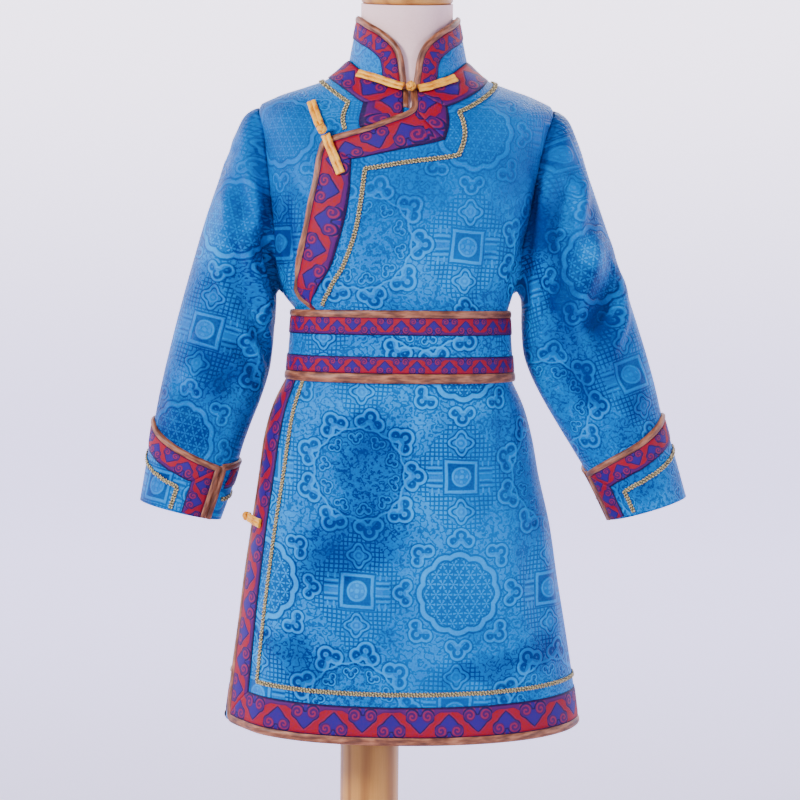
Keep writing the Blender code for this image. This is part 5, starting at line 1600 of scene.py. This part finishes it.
def makeSleeve(body, name):
    skin = makeSleeveSkin(body, name)
    mouth, base, cuff = skin.rows - 1, trims["lap"], "cuff_" + name
    outline = [(seam, 0), (sleeveColumns - seam, 0), (sleeveColumns - seam, mouth), (seam, mouth)]
    sleeve = panel("sleeve_" + name, skin, outline, tube=True)
    stops = np.array([(column, skin.rowBelow(column, height)) for column, height in cuffs[name]])
    stops[0][0] += cuffs["open"]
    stops[-1][0] -= cuffs["open"]
    upper = smoothLine(skin, stops, 0.0035)
    rise = smoothLine(skin, [(stops[0][0], mouth), stops[0]], 0.0035)
    fall = smoothLine(skin, [stops[-1], (stops[-1][0], mouth)], 0.0035)
    edge = np.vstack([rise, upper[1:], fall[1:]])
    cloth = panel(cuff, skin, edge, base, tube=True)
    pieces = [piping(cuff, skin, edge, frontCut["piping"], base)]
    # the ribbon and braid turn down at the end that opens on the front
    offsets = (frontCut["piping"] * trims["under"],
               frontCut["piping"] + trims["gap"] + cuffs["ribbon"],
               cuffs["braid"] + frontCut["braidWidth"] / 2)
    lines = []
    for offset in offsets:
        over = shifted(skin, upper, offset)
        if name == "left":
            down, over = meeting(shifted(skin, rise, offset), over)
            over = over[over[:, 0] <= stops[-1][0] - cuffs["end"]]
            lines.append((down[down[:, 1] <= mouth], over))
        else:
            over, down = meeting(over, shifted(skin, fall, offset))
            over = over[over[:, 0] >= stops[0][0] + cuffs["end"]]
            lines.append((over, down[down[:, 1] <= mouth]))
    near, far, middle = lines
    pieces.append(ribbon(cuff, skin, ((near[0], far[0], "end"), (near[1], far[1], "start")), base,
                         width=cuffs["ribbon"]))
    pieces.append(braid(cuff, skin, np.vstack([middle[0], middle[1][1:]]), base))
    declare(sleeve)
    declare(cloth)


# ---- fastenings

frogs = {
    "width": 0.0085, "high": 0.0013, "around": 12, "fill": 1.12, "lean": 0.08,
    "swell": ((0.05, 17), (0.02, 41)),  # how much the rolls thicken, and how often along them
    "arms": {
        "collar_left": mm(((-45, 995.5, 6.8), (-34, 992, 6.8), (-23, 988.2, 6.8),
                        (-12, 983.8, 7), (-3, 980.8, 7.8))),
        "collar_right": mm(((11.5, 979.8, 6.5), (19, 982, 5.7), (29, 985.5, 5.5),
                         (38, 989, 5.5), (46, 992.5, 5.5))),
        "chest_upper": mm(((-91, 968.5, 3.9), (-87, 958, 3.9), (-83, 948, 4.9),
                        (-81.2, 944, 6.1))),
        "chest_lower": mm(((-75, 934.5, 8), (-72.5, 928, 8), (-65, 910, 6.6),
                        (-60.5, 899, 6.6))),
    },
    "knots": {"collar": mm((4.2, 979.8, 10)), "chest": mm((-77.5, 937.9, 12.4))},
    "sideArm": ((-4.2, 4.0, 0.0068), (-4.7, 4.02, 0.0068), (-5.1, 4.04, 0.0076),
                (-5.4, 4.05, 0.0088), (-5.62, 4.05, 0.0088)),
    "sideKnot": (-5.842, 4.05, 0.0098),
    "knot": {"size": 0.0037, "thick": 0.0014, "swing": 1.12, "steps": 240, "around": 8,
             "ripple": 0.09, "core": 0.95, "flat": 0.8},
}


def frogPlace(body, collar, x, z, stand):
    for skin in (body, collar):
        at = skin.find([(x, z)])[0]
        here = skin.place(*at)
        if math.hypot(here[0] - x, here[2] - z) < 0.0004:
            return here + skin.slopes(*at)[2] * stand, skin.slopes(*at)[2]
    raise ValueError(f"nothing at {x}, {z}")


def makeArm(name, stops, normals, node):
    # Two rolled satin cords side by side, cut square at the ends.
    stops, normals = np.array(stops), np.array(normals)
    leave, arrive = runs(stops)
    centres, outs = [], []
    for n in range(len(stops) - 1):
        for t in np.linspace(0, 1, 8, endpoint=n == len(stops) - 2):
            centres.append(between(stops[n], leave[n], stops[n + 1], arrive[n], t))
            outs.append(normals[n] * (1 - t) + normals[n + 1] * t)
    centres, outs = np.array(centres), unit(np.array(outs))
    ahead = unit(np.gradient(centres, axis=0))
    sides = unit(np.cross(outs, ahead))
    outs = np.cross(ahead, sides)
    along = np.linspace(0, 1, len(centres))
    (big, slow), (small, fast) = frogs["swell"]
    swell = 1 + big * np.sin(along * slow + len(name)) + small * np.sin(along * fast)
    half, fill = frogs["width"] / 4, frogs["fill"]
    rolls = [tubeMesh(name, centres + sides * half * way, sides, outs, half * fill * swell,
                      frogs["high"] * (fill + frogs["lean"] * way) * swell, frogs["around"])
             for way in (-1, 1)]
    return addPiece(name, joined(name, rolls), "yellowSatin", node, smooth=50)


def makeKnot(name, centre, out, ahead, node):
    # A button knot: a cord that runs round a ball three times while it swings across it five times.
    knot = frogs["knot"]
    ahead = unit(ahead - out * (ahead @ out))
    across = np.cross(out, ahead)
    t = np.linspace(0, 2 * math.pi, knot["steps"] + 1)[:, None]
    swing, turn = knot["swing"] * np.cos(5 * t), 3 * t
    away = np.sin(swing) * across + np.cos(swing) * (np.cos(turn) * ahead + np.sin(turn) * out)
    centres = centre + away * knot["size"] * (1 + knot["ripple"] * np.sin(15 * t + 0.8))
    run = np.gradient(centres, axis=0)
    run[0] = run[-1] = centres[1] - centres[-2]
    sides = unit(np.cross(away, run))
    lace = tubeMesh(name, centres, sides, unit(np.cross(run, sides)), knot["thick"],
                    knot["thick"] * knot["flat"], knot["around"], ring=True)
    ball = bmesh.new()
    bmesh.ops.create_icosphere(ball, subdivisions=3, radius=knot["size"] * knot["core"],
                               matrix=Matrix.Translation(centre))
    return addPiece(name, joined(name, [lace, meshOf(ball, name)]), "yellowSatin", node, smooth=0)


def makeFrogs(body, collar):
    ends = {}
    for name, rows in frogs["arms"].items():
        stops, normals = zip(*(frogPlace(body, collar, *row) for row in rows))
        makeArm(f"frog_{name}_cord", stops, normals, f"frog_{name}")
        ends[name] = stops
    for name, row in frogs["knots"].items():
        centre, out = frogPlace(body, collar, *row)
        pair = ("collar_left", "collar_right") if name == "collar" else ("chest_upper", "chest_lower")
        makeKnot(f"frog_{name}_knot_cord", centre, out, ends[pair[1]][0] - ends[pair[0]][-1],
                 f"frog_{name}_knot")
    rows = np.array(frogs["sideArm"])
    stops = body.place(rows[:, 0], rows[:, 1])
    normals = body.slopes(rows[:, 0], rows[:, 1])[2]
    makeArm("frog_side_cord", stops + normals * rows[:, 2:], normals, "frog_side_arm")
    i, j, stand = frogs["sideKnot"]
    out = body.slopes(i, j)[2]
    makeKnot("frog_side_knot_cord", body.place(i, j) + out * stand, out, stops[-1] - stops[-2],
             "frog_side_knot")


# ---- the form and its stand

form = {
    "bottom": 0.5, "neckTop": 1.0725, "tilt": 10, "neckLength": 0.035, "clearance": 0.0024,
    "capRadius": 0.0455, "around": 96, "upward": 8,
    # how far in towards the middle the rings of its underside and its top lie
    "under": (0.97, 0.7, 0.4, 0.15, 0.04), "over": (0.5, 0.97),
    "hips": rings(
        ("bottom", 108, -2, 0, 500, 84, 500, 84, 500, 2.2),
        ("low", 113, -2, 0, 545, 86, 545, 86, 545, 2.2),
        ("hip", 115, -2, 0, 600, 84, 600, 84, 600, 2.2),
        ("high", 113, -2, 0, 650, 80, 650, 81, 650, 2.2)),
    "gaps": (("beltLow", 0.003), ("beltTop", 0.0008), ("underarm", 0.005),
             ("rib2", 0.006), ("chest1", 0.005), ("chest3", 0.003), ("tip", 0.0012),
             ("shoulder3", 0.0004), ("shoulder2", 0.0004), ("shoulder1", 0.0004),
             ("neck", 0.0022)),
}


def makeForm(body, collar):
    rings = [np.array(ringPoints(ring)) for ring in form["hips"]]
    names, gaps = zip(*form["gaps"])
    at = np.arange(columns)
    for row in range(beltLow, top + 1):
        gap = np.interp(row, [rowOf[name] for name in names], gaps)
        rings.append(body.rings[row] - gap * body.slopes(at, np.full(columns, float(row)))[2])
    rings.append(collar.rings[1] - form["clearance"] * collar.slopes(at, np.full(columns, 1.0))[2])
    turn = 2 * math.pi * at / columns
    for height in (form["neckTop"] - form["neckLength"], form["neckTop"]):
        y = -form["capRadius"] * np.cos(turn)
        rings.append(np.stack([form["capRadius"] * np.sin(turn), y,
                               height + y * math.tan(math.radians(form["tilt"]))], axis=1))
    skin = Skin(rings, bends=(4, 5, len(rings) - 2))
    i, j = np.meshgrid(np.linspace(0, columns, form["around"] + 1),
                       np.linspace(0, skin.rows - 1, form["upward"] * skin.rows), indexing="ij")
    points = skin.place(i, j)
    middle = points[:-1].mean(axis=0, keepdims=True)
    under = np.concatenate([points[:, :1] * (1 - s) + middle[:, :1] * s for s in form["under"]],
                           axis=1)
    over = np.concatenate([points[:, -1:] * (1 - s) + middle[:, -1:] * s for s in form["over"]],
                          axis=1)
    points = np.concatenate([under, points, over], axis=1)
    layout = np.stack([i[:, :1] + 0 * points[..., 0], points[..., 2]], axis=-1)
    mesh = joined("form_cover_cloth", [gridMesh("form", points, layout)], 1e-6, True)
    addPiece("form_cover_cloth", mesh, "formCover", "form_torso", smooth=50)


stand = {
    "postX": -0.03, "postRadius": 0.0295, "baseRadius": 0.16, "baseHeight": 0.022,
    "baseEdge": 0.004, "postTop": 0.4997, "postEdge": 0.001, "capHeight": 0.016,
    "capEdge": 0.0035, "gap": 0.0003, "around": 96, "edgeSteps": 6,
}


def turned(name, profile, centre, node, tilt=0.0):
    # A wooden piece turned from a profile of radii and heights, closed at both ends.
    flat = spun(profile, stand["around"])
    bmesh.ops.recalc_face_normals(flat, faces=flat.faces)
    bmesh.ops.rotate(flat, verts=flat.verts, cent=(0, 0, 0), matrix=Matrix.Rotation(tilt, 3, "X"))
    bmesh.ops.translate(flat, verts=flat.verts, vec=centre)
    return addPiece(name, meshOf(flat, name), "paleWood", node, smooth=35)


def rounded(radius, low, high, soft):
    # A disc's profile with both its edges rounded.
    quarterTurn = [math.pi / 2 * n / stand["edgeSteps"] for n in range(stand["edgeSteps"] + 1)]
    lower = [(radius - soft + soft * math.sin(t), low + soft - soft * math.cos(t)) for t in quarterTurn]
    upper = [(radius - soft + soft * math.cos(t), high - soft + soft * math.sin(t)) for t in quarterTurn]
    return [(0, low), (radius * 0.5, low)] + lower + upper + [(radius * 0.5, high), (0, high)]


def makeStand():
    cap, height, foot = form["capRadius"], stand["capHeight"], (stand["postX"], 0, 0)
    turned("neck_cap_wood", rounded(cap, stand["gap"], height, stand["capEdge"]),
           (0, 0, form["neckTop"]), "neck_cap", math.radians(form["tilt"]))
    turned("post_wood", rounded(stand["postRadius"], stand["baseHeight"] + stand["gap"],
                                stand["postTop"], stand["postEdge"]), foot, "post")
    turned("base_wood", rounded(stand["baseRadius"], 0, stand["baseHeight"], stand["baseEdge"]),
           foot, "base")


# ---- everything, in order

makeCamera()
makeBrocade("brocade", 0.7)
makeLining()
makeRibbon()
makeCopper()
makeGold()
makeYellow()
makeFormCover()
makeWood()
makeBackdropPaint()
makeRoom()
print("camera, room and materials are ready")
body = makeBody()
collar = makeCollarSkin(body)
makeOuterFront(body)
print("outer front is on")
makeInnerFront(body)
makeBack(body)
print("inner front and back are on")
makeCollar(collar)
makeBelt(body)
print("collar and belt are on")
makeSleeve(body, "left")
makeSleeve(body, "right")
print("sleeves and cuffs are on")
makeFrogs(body, collar)
makeForm(body, collar)
makeStand()
print("fastenings, form and stand are done")
